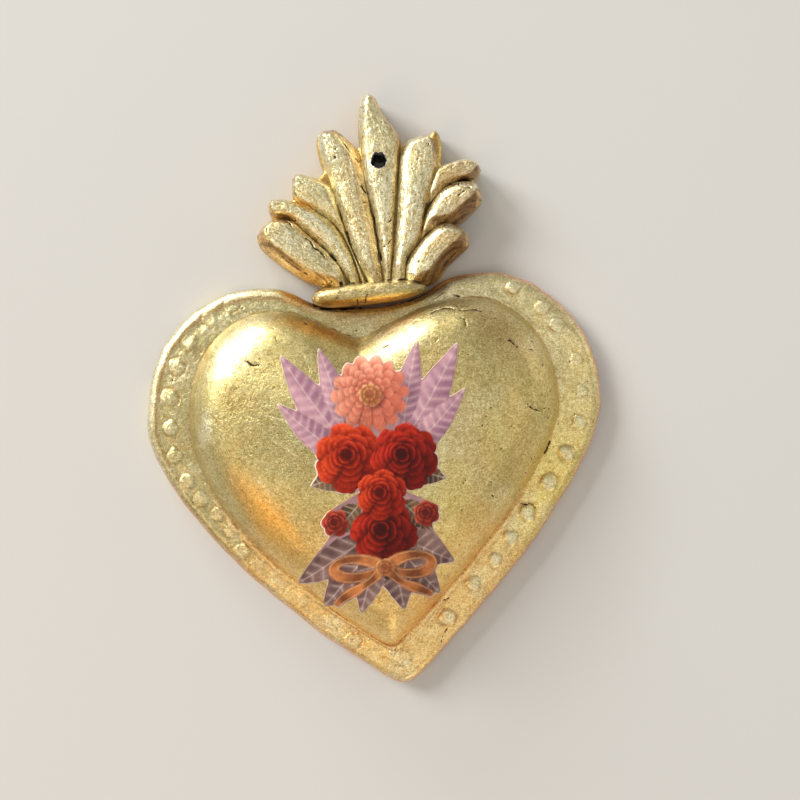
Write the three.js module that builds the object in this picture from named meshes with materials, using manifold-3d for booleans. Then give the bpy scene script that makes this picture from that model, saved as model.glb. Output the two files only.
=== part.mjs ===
import * as THREE from 'three';
import { mergeVertices } from 'three/addons/utils/BufferGeometryUtils.js';
import Module from 'manifold-3d';

const wasm = await Module();
wasm.setup();

// Gilded ceramic heart with a crown of flames, hand-built from rolled clay.
// Millimetres. It lies on its back: +Z out of the face, +Y towards the top of the flame.
// The origin is on the back face, in the middle of the heart plate's width.

// Rolled clay sheet, which both plates are cut from
const sheetThickness = 6;
const frontEdgeRound = 3;
const backEdgeRound = 1.2;
const clearance = 0.3;

// Heart plate outline
const heartHalfWidth = 58.3;
const lobeTop = 49.2;
const lobeSpread = 30;
const widestHeight = 14.7;
const cleftHeight = 42.8;
const tipDepth = 55.8;
const tipShift = 2.8;
const tipRound = 5.6;

// Roundness of both heart outlines: the angle of each side at the tip in degrees, and how far
// each curve keeps its direction, as a share of its reach
const leftTipAngle = 54;
const rightTipAngle = 47.7;
const crestHold = 0.3;
const flankHoldUp = 0.8;
const flankHoldDown = 0.03;
const tipHold = 1;
const cleftReach = 0.7;
const crestReach = 0.6;
const domeCrestReach = 0.3;

// Border left bare around the puffed heart
const sideBorder = 11.3;
const topBorder = 6.2;
const tipBorder = 11.2;
const cleftBorder = 8.6;

// Puffed heart
const domeLobeSpread = 26;
const domeCleftShift = -2.6;
const domeCleftRise = 26;
const domeTipShift = 0.1;
const domeTipRound = 3;
const shoulderWidth = 10.5;
const shoulderRise = 8.4;
const faceSwell = 6.8;
const shellWall = 4.4;

// Clay beads pressed along the border
const beadDiameter = 3.6;
const beadRise = 0.7;
const beadPitch = 7.4;
const beadStart = 20;

// Firing vent behind the hollow heart
const ventDiameter = 6.5;
const ventDrop = 20;

// Flame plate and the tongues on it
const flameFootWidth = 25;
const flameFootHeight = 9;
const flameWebWidth = 33;
const flameWebHeight = 38;
const lobeHalfWidth = 2.2;
const lobeHalfHeight = 6.4;
const lobeTurn = -8;
const lobePlace = [19.6, 36.9];
const holeWidth = 4.3;
const holeHeight = 4.1;
const holeRise = 35.3;
const holeShift = 5.7;
const notchReach = 0.5;
const tongueHeight = 6.4;

// Sides of a tongue: an edge stands up by a share of the tongue's height, less where it is free of
// its neighbours, and a shoulder rises from it to the top
const joinedStand = 0.62;
const freeStand = 0.32;
const standBlend = 0.08;
const shoulderPower = 2.2;
const tipDroop = 0.12;
const rootDroop = 0.3;
const rootReach = 0.12;

// Roll of clay across the foot of the flame
const rollLength = 29.4;
const rollWidth = 5.9;
const rollHeight = 6.6;
const rollRise = 3.05;
const rollTilt = 0.45;
const rollShift = 0.8;
const rollEndDroop = 0.75;
const bluntEndPower = 5;
const taperedEndPower = 2.6;

// Each tongue lies between two edges that run from the roll to its tip, placed from the cleft of
// the heart. With each edge go the width of its shoulder and the share of its length past which it
// is free. Tall is the tongue's share of the full height, and show is how far the flame plate
// shows past it.
// A tongue is cut back where it meets one that is named before it.
const tongues = [
  { name: 'tongue_tall_left', tall: 1, show: 0.8,
    left: { shoulder: 1.9, free: 0.66,
      run: [[1.3, 4.2], [-2.6, 14.6], [-4.3, 21.1], [-6.2, 29.1],
            [-8.8, 38.5], [-8.9, 43.8], [-6.1, 44.9]] },
    right: { shoulder: 2.6, free: 0.72,
      run: [[4.4, 4.2], [3.9, 13], [3, 22], [2.1, 28],
            [1.4, 35.2], [-0.1, 39.5], [-4.1, 44.2], [-6.1, 44.9]] } },
  { name: 'tongue_tall_right', tall: 1, show: 0.3,
    left: { shoulder: 2.3, free: 0.82,
      run: [[6.6, 4.8], [8, 14], [9.5, 22.9], [10.9, 34.7], [13, 40.3], [17.8, 41.9]] },
    right: { shoulder: 1.2, free: 0.8,
      run: [[10, 4.6], [11, 10.5], [14.9, 15.9], [16.8, 23.9],
            [20, 33.2], [19.8, 40.2], [17.8, 41.9]] } },
  { name: 'tongue_far_left', tall: 1, show: 0.3,
    left: { shoulder: 3.2, free: 0,
      run: [[-8.5, 4.7], [-14.4, 6.9], [-21.3, 12.2], [-25.8, 16.6], [-26.6, 19.6]] },
    right: { shoulder: 1.6, free: 0.7,
      run: [[-4.6, 4.7], [-5.9, 9.1], [-8.7, 13.4], [-14, 18.9],
            [-17.5, 22.3], [-22.4, 23.2], [-26.6, 19.6]] } },
  { name: 'tongue_far_right', tall: 1, show: 0.3,
    left: { shoulder: 2.5, free: 0.8,
      run: [[10.5, 4.2], [11, 9.5], [14.9, 14.9], [20.5, 18.7], [25.9, 17.2], [27, 14.2]] },
    right: { shoulder: 3.2, free: 0,
      run: [[14.9, 4], [18, 5.2], [21.5, 9.1], [26.3, 12.9], [27, 14.2]] } },
  { name: 'tongue_centre', tall: 0.97, show: 0.3,
    left: { shoulder: 2, free: 0.66,
      run: [[4.7, 5], [4.2, 13.2], [3.4, 21.4], [1.9, 31.3], [1.2, 41], [2.1, 51.1], [4.3, 53.4]] },
    right: { shoulder: 1.3, free: 0.66,
      run: [[6.3, 4.9], [7.8, 14.2], [8.8, 22.9], [10.5, 34.7],
            [11.4, 41.2], [7.5, 48.2], [5.9, 51.9], [4.3, 53.4]] } },
  { name: 'tongue_left', tall: 0.89, show: 0.3,
    left: { shoulder: 1.5, free: 0.72,
      run: [[-3.4, 4.6], [-5.6, 9.1], [-8.5, 13.5], [-13.8, 19],
            [-17.3, 22.4], [-22.3, 24], [-23.2, 27.1]] },
    right: { shoulder: 1.4, free: 0.7,
      run: [[-0.9, 4.4], [-3.1, 13], [-6.1, 19.5], [-10.5, 23.8],
            [-16.4, 27.4], [-21.4, 28.4], [-23.2, 27.1]] } },
  { name: 'tongue_right', tall: 0.95, show: 0.3,
    left: { shoulder: 2.3, free: 0.85,
      run: [[14.6, 15.1], [16.3, 20.6], [19.6, 25.9], [24.2, 28.7], [29.5, 28.5], [31.2, 24.7]] },
    right: { shoulder: 3, free: 0.3,
      run: [[14.7, 14.8], [17.7, 17.6], [23.4, 18.6], [29.8, 23], [31.2, 24.7]] } },
  { name: 'tongue_upper_left', tall: 0.89, show: 0.3,
    left: { shoulder: 1.3, free: 0.7,
      run: [[-0.6, 4.4], [-2.9, 13], [-5.9, 19.7], [-10.4, 23.9],
            [-16.2, 27.5], [-16.5, 32.7], [-16.3, 33.5]] },
    right: { shoulder: 1.4, free: 0.72,
      run: [[0.7, 4.3], [-2.8, 14.6], [-4.4, 21], [-6.4, 29],
            [-8.6, 31.8], [-14.3, 34.3], [-16.3, 33.5]] } },
  { name: 'tongue_upper_right', tall: 0.83, show: 0.3,
    left: { shoulder: 1.3, free: 0.3,
      run: [[17, 26], [18.3, 29.3], [20.1, 33.1], [26.8, 35], [30.3, 34], [31.4, 32]] },
    right: { shoulder: 1.5, free: 0.6,
      run: [[17.1, 23.5], [19.4, 25.9], [22.8, 28.5], [28.3, 29.4], [31.4, 32]] } },
];

// Printed flower spray glued on the puffed heart: each motif's middle from the centre of the
// puffed heart, its half width and half height, and its turn in degrees.
const printThickness = 0.3;
const printMotifs = [
  { at: [-0.5, 13.5], half: [10.5, 10.5], turn: 0 },
  { at: [-13.5, 12], half: [6, 13.5], turn: 36 },
  { at: [12.5, 12], half: [6, 13.5], turn: -36 },
  { at: [-5.5, -3], half: [10, 10], turn: 0 },
  { at: [6.5, -2.5], half: [9.5, 9.5], turn: 0 },
  { at: [0, -15.5], half: [10.5, 10.5], turn: 0 },
  { at: [-11, -29.5], half: [11, 7], turn: 8 },
  { at: [7.5, -29], half: [10, 7.2], turn: -6 },
];

// How finely the curved surfaces are divided
const outlineSteps = 104;
const domeSteps = 80;
const edgeSteps = 3;
const petalSteps = 12;
const sectionSteps = 9;
const sectionPower = 0.8;
const tongueSection = [0, 0.12, 0.3, 0.5, 0.7, 0.88, 1];
const holeSteps = 20;
const puffShares = [1, 0.985, 0.955, 0.915, 0.865, 0.79, 0.68, 0.52, 0.32, 0.12];
const endShare = 0.995;
const stationPower = 1.5;

const cleft = new THREE.Vector2(0, cleftHeight);
const puffCentre = new THREE.Vector2(0, widestHeight / 2);
const quarterTurn = Math.PI / 2;

// A closed geometry as a solid that can be joined and cut.
function solidOf(geometry) {
  const bare = geometry.clone();
  bare.deleteAttribute('normal');
  bare.deleteAttribute('uv');
  const merged = mergeVertices(bare);
  return new wasm.Manifold(new wasm.Mesh({
    numProp: 3,
    vertProperties: new Float32Array(merged.attributes.position.array),
    triVerts: new Uint32Array(merged.index.array),
  }));
}

// A solid as a named mesh with its own material.
function pieceOf(solid, name, finish) {
  const data = solid.getMesh();
  const geometry = new THREE.BufferGeometry();
  geometry.setAttribute('position', new THREE.BufferAttribute(data.vertProperties, 3));
  geometry.setIndex(new THREE.BufferAttribute(data.triVerts, 1));
  geometry.computeVertexNormals();
  const mesh = new THREE.Mesh(geometry, new THREE.MeshStandardMaterial(finish));
  mesh.name = name;
  return mesh;
}

function goldLeaf() {
  return { color: 0xc9b176, roughness: 0.34, metalness: 0.85 };
}

function printedPaper() {
  return { color: 0xb5483a, roughness: 0.5, metalness: 0 };
}

// One closed solid through a row of rings with the same number of points. Each ring runs
// anticlockwise seen from the far end of the row, and both ends close on the ring's middle.
function loft(rings) {
  const count = rings[0].length;
  const last = (rings.length - 1) * count;
  const points = [...rings.flat(), middleOf(rings[0]), middleOf(rings.at(-1))];
  const faces = [];
  for (let level = 0; level < last; level += count) {
    for (let step = 0; step < count; step++) {
      const here = level + step;
      const next = level + ((step + 1) % count);
      faces.push(here, next, next + count, here, next + count, here + count);
    }
  }
  for (let step = 0; step < count; step++) {
    const next = (step + 1) % count;
    faces.push(points.length - 2, next, step);
    faces.push(points.length - 1, last + step, last + next);
  }
  const geometry = new THREE.BufferGeometry().setFromPoints(points);
  geometry.setIndex(faces);
  return solidOf(geometry);
}

function middleOf(ring) {
  const sum = ring.reduce((total, point) => total.add(point), new THREE.Vector3());
  return sum.divideScalar(ring.length);
}

function ringAt(outline, z) {
  return outline.map((point) => new THREE.Vector3(point.x, point.y, z));
}

// Outward direction of a closed anticlockwise outline at each of its points.
function outwards(outline) {
  return outline.map((_, step) => {
    const before = outline.at(step - 1);
    const after = outline[(step + 1) % outline.length];
    return new THREE.Vector2(after.y - before.y, before.x - after.x).normalize();
  });
}

// The outline moved outwards by a distance, or inwards by a negative one.
function grown(outline, distance) {
  const directions = outwards(outline);
  return outline.map((point, step) => point.clone().addScaledVector(directions[step], distance));
}

// The flat area inside an outline.
function areaOf(outline) {
  return new wasm.CrossSection([outline.map(({ x, y }) => [x, y])], 'NonZero');
}

// An outline pushed straight up from one height to another.
function upright(outline, bottom, top) {
  return loft([ringAt(outline, bottom), ringAt(outline, top)]);
}

function oval(centre, halfWidth, halfHeight, turn) {
  const { x, y } = centre;
  const curve = new THREE.EllipseCurve(x, y, halfWidth, halfHeight, 0, 2 * Math.PI, false, turn);
  return curve.getPoints(holeSteps).slice(0, holeSteps);
}

// Side of a heart outline, from the cleft over the lobe and the widest point to the tip's
// rounding. The handles are shares of each curve's own reach.
function heartSide(heart, sign, tipAngle) {
  const slope = new THREE.Vector2(sign * Math.sin(tipAngle), Math.cos(tipAngle));
  const rise = new THREE.Vector2(sign * Math.cos(heart.cleftRise), Math.sin(heart.cleftRise));
  const start = new THREE.Vector2(heart.cleftShift, heart.cleft);
  const crest = new THREE.Vector2(sign * heart.spread, heart.top);
  const flank = new THREE.Vector2(sign * heart.halfWidth, heart.widest);
  const turn = new THREE.Vector2(heart.tipShift, -heart.tip).addScaledVector(slope, heart.round);
  const drop = flank.y - turn.y;
  return [
    new THREE.CubicBezierCurve(
      start,
      start.clone().addScaledVector(rise, cleftReach * heart.spread),
      new THREE.Vector2(crest.x * (1 - heart.crestReach), crest.y),
      crest,
    ),
    new THREE.CubicBezierCurve(
      crest,
      new THREE.Vector2(crest.x + crestHold * (flank.x - crest.x), crest.y),
      new THREE.Vector2(flank.x, flank.y + flankHoldUp * (crest.y - flank.y)),
      flank,
    ),
    new THREE.CubicBezierCurve(
      flank,
      new THREE.Vector2(flank.x, flank.y - flankHoldDown * drop),
      turn.clone().addScaledVector(slope, tipHold * drop),
      turn,
    ),
  ];
}

// Closed heart outline, anticlockwise from the cleft.
function heartOutline(heart, steps) {
  const left = heartSide(heart, -1, THREE.MathUtils.degToRad(leftTipAngle));
  const right = heartSide(heart, 1, THREE.MathUtils.degToRad(rightTipAngle));
  const tip = new THREE.Vector2(heart.tipShift, -heart.tip);
  const path = new THREE.CurvePath();
  path.curves.push(...left);
  path.add(new THREE.QuadraticBezierCurve(left[2].v3, tip, right[2].v3));
  for (const curve of right.toReversed()) {
    path.add(new THREE.CubicBezierCurve(curve.v3, curve.v2, curve.v1, curve.v0));
  }
  return path.getSpacedPoints(steps).slice(0, steps);
}

const plateOutline = heartOutline({
  halfWidth: heartHalfWidth,
  widest: widestHeight,
  top: lobeTop,
  spread: lobeSpread,
  cleft: cleftHeight,
  cleftShift: 0,
  cleftRise: 0,
  crestReach,
  tip: tipDepth,
  tipShift,
  round: tipRound,
}, outlineSteps);

const domeOutline = heartOutline({
  halfWidth: heartHalfWidth - sideBorder,
  widest: widestHeight,
  top: lobeTop - topBorder,
  spread: domeLobeSpread,
  cleft: cleftHeight - cleftBorder,
  cleftShift: domeCleftShift,
  cleftRise: THREE.MathUtils.degToRad(domeCleftRise),
  crestReach: domeCrestReach,
  tip: tipDepth - tipBorder,
  tipShift: domeTipShift,
  round: domeTipRound,
}, domeSteps);

// Rings of a rounded edge between the upright side of an outline and its flat face.
function edgeRings(outline, radius, face, up) {
  const rings = [];
  for (let step = 0; step <= edgeSteps; step++) {
    const angle = (step / edgeSteps) * quarterTurn;
    const inset = radius * (1 - Math.cos(angle));
    rings.push(ringAt(grown(outline, -inset), face - up * radius * (1 - Math.sin(angle))));
  }
  return up > 0 ? rings : rings.reverse();
}

// Middle of the border, evenly divided from one side of the flame round to the other.
function beadPlaces() {
  const middle = plateOutline.map((point) => {
    const foot = domeOutline.reduce((near, other) => (
      point.distanceTo(other) < point.distanceTo(near) ? other : near
    ));
    return point.clone().add(foot).divideScalar(2);
  });
  const beaded = middle.filter((point) => point.y < 0 || Math.abs(point.x) > beadStart);
  const run = new THREE.SplineCurve(beaded);
  return run.getSpacedPoints(Math.floor(run.getLength() / beadPitch));
}

// A flattened ball of clay, sunk to its middle in the border.
function bead(place) {
  const ball = new THREE.SphereGeometry(beadDiameter / 2, 8, 6);
  ball.rotateX(quarterTurn);
  ball.scale(1, 1, beadRise / (beadDiameter / 2));
  ball.translate(place.x, place.y, sheetThickness);
  return solidOf(ball);
}

// Heart plate: the sheet with its rounded rim, the beads on its border and the firing vent.
function heartPlate() {
  let plate = loft([
    ...edgeRings(plateOutline, backEdgeRound, 0, -1),
    ...edgeRings(plateOutline, frontEdgeRound, sheetThickness, 1),
  ]);
  for (const place of beadPlaces()) {
    plate = plate.add(bead(place));
  }
  const vent = oval(new THREE.Vector2(0, -ventDrop), ventDiameter / 2, ventDiameter / 2, 0);
  return plate.subtract(upright(vent, -1, sheetThickness + 1));
}

// Puffed heart, larger all over by growth. From its foot the shoulder rises as a quarter of an
// ellipse over the shoulder's width, and the face swells on to the middle. Each ring is the
// outline drawn in towards the centre. The foot reaches below the face of the plate by sink.
function puffed(growth, sink) {
  const outline = grown(domeOutline, growth);
  const directions = outwards(outline);
  const width = shoulderWidth + growth;
  const rise = shoulderRise + growth;
  const rings = sink > 0 ? [ringAt(outline, sheetThickness - sink)] : [];
  for (const share of puffShares) {
    rings.push(outline.map((point, step) => {
      const arm = point.clone().sub(puffCentre);
      const depth = (1 - share) * arm.dot(directions[step]);
      const outer = 1 - Math.min(depth / width, 1);
      const lift = rise * Math.sqrt(1 - outer * outer) + faceSwell * (1 - share * share);
      const place = arm.multiplyScalar(share).add(puffCentre);
      return new THREE.Vector3(place.x, place.y, sheetThickness + lift);
    }));
  }
  return loft(rings);
}

// Hollow puffed heart, open at its foot.
function heartDome() {
  return puffed(0, 0).subtract(puffed(-shellWall, 1));
}

// Stations along a tongue, closer together towards the tip and stopping just short of it.
function tongueStations() {
  return steps(petalSteps).map((share) => endShare * (1 - (1 - share) ** stationPower));
}

// Stations along the roll, closer together towards both ends.
function rollStations() {
  return steps(petalSteps).map((share) => (1 - endShare * Math.cos(share * Math.PI)) / 2);
}

function steps(count) {
  return Array.from({ length: count + 1 }, (_, step) => step / count);
}

// A rolled piece of clay lying flat on z = foot. At each station of its spine the section is a
// half ellipse with a flat underside. sizeAt gives the half width and the height there.
function clayRoll(spine, places, foot, sizeAt) {
  const rings = places.map((along) => {
    const middle = spine.getPointAt(along);
    const heading = spine.getTangentAt(along);
    const { half, height } = sizeAt(along);
    const ring = [];
    for (let step = 0; step <= sectionSteps; step++) {
      const angle = (step / sectionSteps) * Math.PI;
      const across = half * Math.cos(angle);
      const up = height * Math.sin(angle) ** sectionPower;
      ring.push(new THREE.Vector3(middle.x - heading.y * across, middle.y + heading.x * across, foot + up));
    }
    return ring;
  });
  return loft(rings);
}

function tongueEdge(edge) {
  return new THREE.SplineCurve(edge.run.map(([x, y]) => new THREE.Vector2(x, y).add(cleft)));
}

// Left and right end of a tongue's section at each station, moved apart by growth on each side.
function tongueSpans(tongue, growth) {
  const left = tongueEdge(tongue.left);
  const right = tongueEdge(tongue.right);
  return tongueStations().map((along) => {
    const start = left.getPointAt(along);
    const end = right.getPointAt(along);
    const across = end.clone().sub(start).normalize();
    return { along, start: start.addScaledVector(across, -growth), end: end.addScaledVector(across, growth) };
  });
}

// Share of a tongue's height at a distance from one of its edges.
function sideShare(edge, along, distance) {
  const free = THREE.MathUtils.smoothstep(along, edge.free - standBlend, edge.free + standBlend);
  const stand = joinedStand + (freeStand - joinedStand) * free;
  const rise = 1 - (1 - Math.min(distance / edge.shoulder, 1)) ** shoulderPower;
  return stand + (1 - stand) * rise;
}

// A tongue of flame before it is cut, larger all round by growth. It droops a little to its tip
// and to its root.
function tongueBody(tongue, growth) {
  const foot = sheetThickness - growth;
  const rings = tongueSpans(tongue, growth).map(({ along, start, end }) => {
    const width = start.distanceTo(end);
    const rise = 1 - rootDroop * (1 - THREE.MathUtils.smoothstep(along, 0, rootReach));
    const height = tongueHeight * tongue.tall * rise * (1 - tipDroop * along ** 3);
    const top = tongueSection.map((share) => {
      const place = start.clone().lerp(end, share);
      const sides = sideShare(tongue.left, along, share * width)
        * sideShare(tongue.right, along, (1 - share) * width);
      return new THREE.Vector3(place.x, place.y, foot + height * sides + 2 * growth);
    });
    return [new THREE.Vector3(start.x, start.y, foot), ...top, new THREE.Vector3(end.x, end.y, foot)];
  });
  return loft(rings);
}

// Footprint of a tongue on the flame plate, larger all round by show.
function tonguePrint(tongue, show) {
  const spans = tongueSpans(tongue, show);
  return [...spans.map((span) => span.end), ...spans.map((span) => span.start).reverse()];
}

const rollSpine = new THREE.LineCurve(
  new THREE.Vector2(rollShift - rollLength / 2, rollRise - rollTilt).add(cleft),
  new THREE.Vector2(rollShift + rollLength / 2, rollRise + rollTilt).add(cleft),
);

// Roll across the foot of the flame, blunt at its left end and tapered at its right one. It is
// larger all round by growth and its top is raised by headroom.
function crownRoll(growth, headroom) {
  return clayRoll(rollSpine, rollStations(), sheetThickness - growth, (along) => {
    const out = Math.abs(2 * along - 1);
    const endPower = along < 1 / 2 ? bluntEndPower : taperedEndPower;
    return {
      half: (rollWidth / 2) * Math.sqrt(1 - out ** endPower) + growth,
      height: rollHeight * Math.sqrt(1 - rollEndDroop * out ** 4) + growth + headroom,
    };
  });
}

function holeOutline() {
  const centre = new THREE.Vector2(holeShift, holeRise).add(cleft);
  return oval(centre, holeWidth / 2, holeHeight / 2, 0);
}

// The tongues, each cut back from the roll and from the tongues that were laid before it.
function flameTongues() {
  const keepOut = crownRoll(clearance, 2 * sheetThickness);
  const laid = [];
  return tongues.map((tongue) => {
    let body = tongueBody(tongue, 0).subtract(keepOut);
    for (const other of laid) {
      body = body.subtract(tongueBody(other, clearance));
    }
    laid.push(tongue);
    if (tongue.name === 'tongue_centre') {
      body = body.subtract(upright(holeOutline(), 0, 3 * sheetThickness));
    }
    return pieceOf(body, tongue.name, goldLeaf());
  });
}

// Flame plate: the sheet cut round the tongues, with a foot that fits against the heart plate and
// a lobe that shows beside the tall right tongue. Its narrow notches are smoothed shut.
function flamePlate() {
  const foot = oval(new THREE.Vector2(rollShift, 0).add(cleft), flameFootWidth / 2, flameFootHeight, 0);
  const webPlace = new THREE.Vector2(rollShift, flameWebHeight / 2).add(cleft);
  const web = oval(webPlace, flameWebWidth / 2, flameWebHeight / 2, 0);
  const lobeMiddle = new THREE.Vector2(...lobePlace).add(cleft);
  const lobe = oval(lobeMiddle, lobeHalfWidth, lobeHalfHeight, THREE.MathUtils.degToRad(lobeTurn));
  let sheet = areaOf(foot).add(areaOf(web)).add(areaOf(lobe));
  for (const tongue of tongues) {
    sheet = sheet.add(areaOf(tonguePrint(tongue, tongue.show)));
  }
  return sheet
    .offset(notchReach, 'Round', 2, holeSteps)
    .offset(-notchReach, 'Round', 2, holeSteps)
    .subtract(areaOf(grown(plateOutline, clearance)))
    .subtract(areaOf(holeOutline()))
    .simplify(notchReach / 10)
    .extrude(sheetThickness);
}

// Printed flower spray: a thin skin over the puffed heart, cut to the outline of its motifs.
function printPatch() {
  const skin = puffed(clearance + printThickness, 0).subtract(puffed(clearance, 1));
  const motifs = printMotifs.map((motif) => {
    const centre = new THREE.Vector2(...motif.at).add(puffCentre);
    const outline = oval(centre, ...motif.half, THREE.MathUtils.degToRad(motif.turn));
    return upright(outline, sheetThickness, sheetThickness + 4 * shoulderRise);
  });
  return skin.intersect(motifs.reduce((all, motif) => all.add(motif)));
}

const heart = new THREE.Group();
heart.add(pieceOf(heartPlate(), 'heart_plate', goldLeaf()));
heart.add(pieceOf(heartDome(), 'heart_dome', goldLeaf()));
heart.add(pieceOf(flamePlate(), 'flame_plate', goldLeaf()));
heart.add(pieceOf(crownRoll(0, 0), 'crown_roll', goldLeaf()));
heart.add(pieceOf(printPatch(), 'print_patch', printedPaper()));
heart.add(...flameTongues());

export default heart;
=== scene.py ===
import math

import bpy
import numpy as np
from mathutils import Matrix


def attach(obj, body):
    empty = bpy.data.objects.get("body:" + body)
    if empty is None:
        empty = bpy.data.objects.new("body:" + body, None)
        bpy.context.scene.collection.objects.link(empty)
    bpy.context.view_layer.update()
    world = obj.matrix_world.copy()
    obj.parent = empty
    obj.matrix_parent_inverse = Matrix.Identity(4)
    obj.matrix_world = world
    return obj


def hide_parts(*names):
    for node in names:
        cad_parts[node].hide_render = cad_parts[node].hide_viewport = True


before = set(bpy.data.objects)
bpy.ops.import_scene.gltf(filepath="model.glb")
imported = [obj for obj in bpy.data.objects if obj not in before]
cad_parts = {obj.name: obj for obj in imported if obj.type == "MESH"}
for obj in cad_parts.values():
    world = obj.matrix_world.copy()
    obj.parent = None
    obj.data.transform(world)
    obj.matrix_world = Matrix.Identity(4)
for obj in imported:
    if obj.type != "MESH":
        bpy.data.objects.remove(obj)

# Gilded ceramic heart with a crown of flames, lying on its back on a pale table.
# Shapes are worked out in millimetres and put into the meshes in metres.
# x runs to the right, y towards the top of the flame and z out of the face.

MM = 0.001
TURN = 2 * math.pi

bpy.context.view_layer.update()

# Rolled clay sheet
SHEET = 6.0
FRONT_ROUND = 3.0
BACK_ROUND = 1.2
GAP = 0.3

# Heart outlines: half width, height of the widest point, top and spread of the lobes, cleft,
# tip, and the rounding of the tip. After them come the angles of the tip, how far each curve
# keeps its direction, and how many points are laid along a side, a curve and half the tip.
PLATE = dict(half=58.3, widest=14.7, top=49.2, spread=30.0, cleft=42.8, cleft_shift=0.0,
             cleft_rise=0.0, crest_reach=0.6, tip=55.8, tip_shift=2.8, round=5.6)
DOME = dict(half=47.0, widest=14.7, top=43.0, spread=26.0, cleft=34.2, cleft_shift=-2.6,
            cleft_rise=26.0, crest_reach=0.3, tip=44.6, tip_shift=0.1, round=3.0)
LEFT_TIP_ANGLE = 54.0
RIGHT_TIP_ANGLE = 47.7
CREST_HOLD = 0.3
FLANK_HOLD_UP = 0.8
FLANK_HOLD_DOWN = 0.03
TIP_HOLD = 1.0
CLEFT_REACH = 0.7
SIDE_COUNT = 440
CURVE_COUNT = 300
TIP_COUNT = 20

# Puffed heart
PUFF_CENTRE = np.array([0.0, 7.35])
SHOULDER_WIDTH = 10.5
SHOULDER_RISE = 8.4
FACE_SWELL = 6.8
SHELL_WALL = 4.4

# Firing vent behind the puffed heart
VENT_CENTRE = np.array([0.0, -20.0])
VENT_RADIUS = 3.25

# Flame. Each tongue lies between two edges that run from the roll to its tip, placed from the
# cleft of the heart. With each edge go the width of its shoulder and the share of its length past
# which it is free. Tall is its height, show is how far the sheet shows past it and warm is how
# far its leaf turns to peach.
CLEFT = np.array([0.0, 42.8])
TONGUES = [
    dict(name="far_left", tall=6.4, show=0.3, warm=0.35,
         left=(3.2, 0.0, [(-8.5, 4.7), (-14.4, 6.9), (-21.3, 12.2), (-25.8, 16.6), (-26.6, 19.6)]),
         right=(1.6, 0.7, [(-4.6, 4.7), (-5.9, 9.1), (-8.7, 13.4), (-14, 18.9), (-17.5, 22.3),
                           (-22.4, 23.2), (-26.6, 19.6)])),
    dict(name="left", tall=5.7, show=0.3, warm=0.4,
         left=(1.5, 0.72, [(-3.4, 4.6), (-5.6, 9.1), (-8.5, 13.5), (-13.8, 19), (-17.3, 22.4),
                           (-22.3, 24), (-23.2, 27.1)]),
         right=(1.4, 0.7, [(-0.9, 4.4), (-3.1, 13), (-6.1, 19.5), (-10.5, 23.8), (-16.4, 27.4),
                           (-21.4, 28.4), (-23.2, 27.1)])),
    dict(name="upper_left", tall=5.7, show=0.3, warm=0.35,
         left=(1.3, 0.7, [(-0.6, 4.4), (-2.9, 13), (-5.9, 19.7), (-10.4, 23.9), (-16.2, 27.5),
                          (-16.5, 32.7), (-16.3, 33.5)]),
         right=(1.4, 0.72, [(0.7, 4.3), (-2.8, 14.6), (-4.4, 21), (-6.4, 29), (-8.6, 31.8),
                            (-14.3, 34.3), (-16.3, 33.5)])),
    dict(name="tall_left", tall=6.4, show=0.8, warm=0.35,
         left=(1.9, 0.66, [(1.3, 4.2), (-2.6, 14.6), (-4.3, 21.1), (-6.2, 29.1), (-8.8, 38.5),
                           (-8.9, 43.8), (-6.1, 44.9)]),
         right=(2.6, 0.72, [(4.4, 4.2), (3.9, 13), (3, 22), (2.1, 28), (1.4, 35.2), (-0.1, 39.5),
                            (-4.1, 44.2), (-6.1, 44.9)])),
    dict(name="centre", tall=6.2, show=0.3, warm=0.2,
         left=(2.0, 0.66, [(4.7, 5), (4.2, 13.2), (3.4, 21.4), (1.9, 31.3), (1.2, 41), (2.1, 51.1),
                           (4.3, 53.4)]),
         right=(1.3, 0.66, [(6.3, 4.9), (7.8, 14.2), (8.8, 22.9), (10.5, 34.7), (11.4, 41.2),
                            (7.5, 48.2), (5.9, 51.9), (4.3, 53.4)])),
    dict(name="tall_right", tall=6.4, show=0.3, warm=0.25,
         left=(2.3, 0.82, [(6.6, 4.8), (8, 14), (9.5, 22.9), (10.9, 34.7), (13, 40.3), (17.8, 41.9)]),
         right=(1.2, 0.8, [(10, 4.6), (11, 10.5), (14.9, 15.9), (16.8, 23.9), (20, 33.2),
                           (19.8, 40.2), (17.8, 41.9)])),
    dict(name="upper_right", tall=5.3, show=0.3, warm=0.55,
         left=(1.3, 0.3, [(17, 26), (18.3, 29.3), (20.1, 33.1), (26.8, 35), (30.3, 34), (31.4, 32)]),
         right=(1.5, 0.6, [(17.1, 23.5), (19.4, 25.9), (22.8, 28.5), (28.3, 29.4), (31.4, 32)])),
    dict(name="right", tall=6.1, show=0.3, warm=0.45,
         left=(2.3, 0.85, [(14.6, 15.1), (16.3, 20.6), (19.6, 25.9), (24.2, 28.7), (29.5, 28.5),
                           (31.2, 24.7)]),
         right=(3.0, 0.3, [(14.7, 14.8), (17.7, 17.6), (23.4, 18.6), (29.8, 23), (31.2, 24.7)])),
    dict(name="far_right", tall=6.4, show=0.3, warm=0.5,
         left=(2.5, 0.8, [(10.5, 4.2), (11, 9.5), (14.9, 14.9), (20.5, 18.7), (25.9, 17.2),
                          (27, 14.2)]),
         right=(3.2, 0.0, [(14.9, 4), (18, 5.2), (21.5, 9.1), (26.3, 12.9), (27, 14.2)])),
]

# Hanging hole through the centre tongue: middle, half width and half height, points round it
HOLE_CENTRE = CLEFT + (5.7, 35.3)
HOLE_HALF = (2.15, 2.05)
HOLE_COUNT = 72

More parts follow.
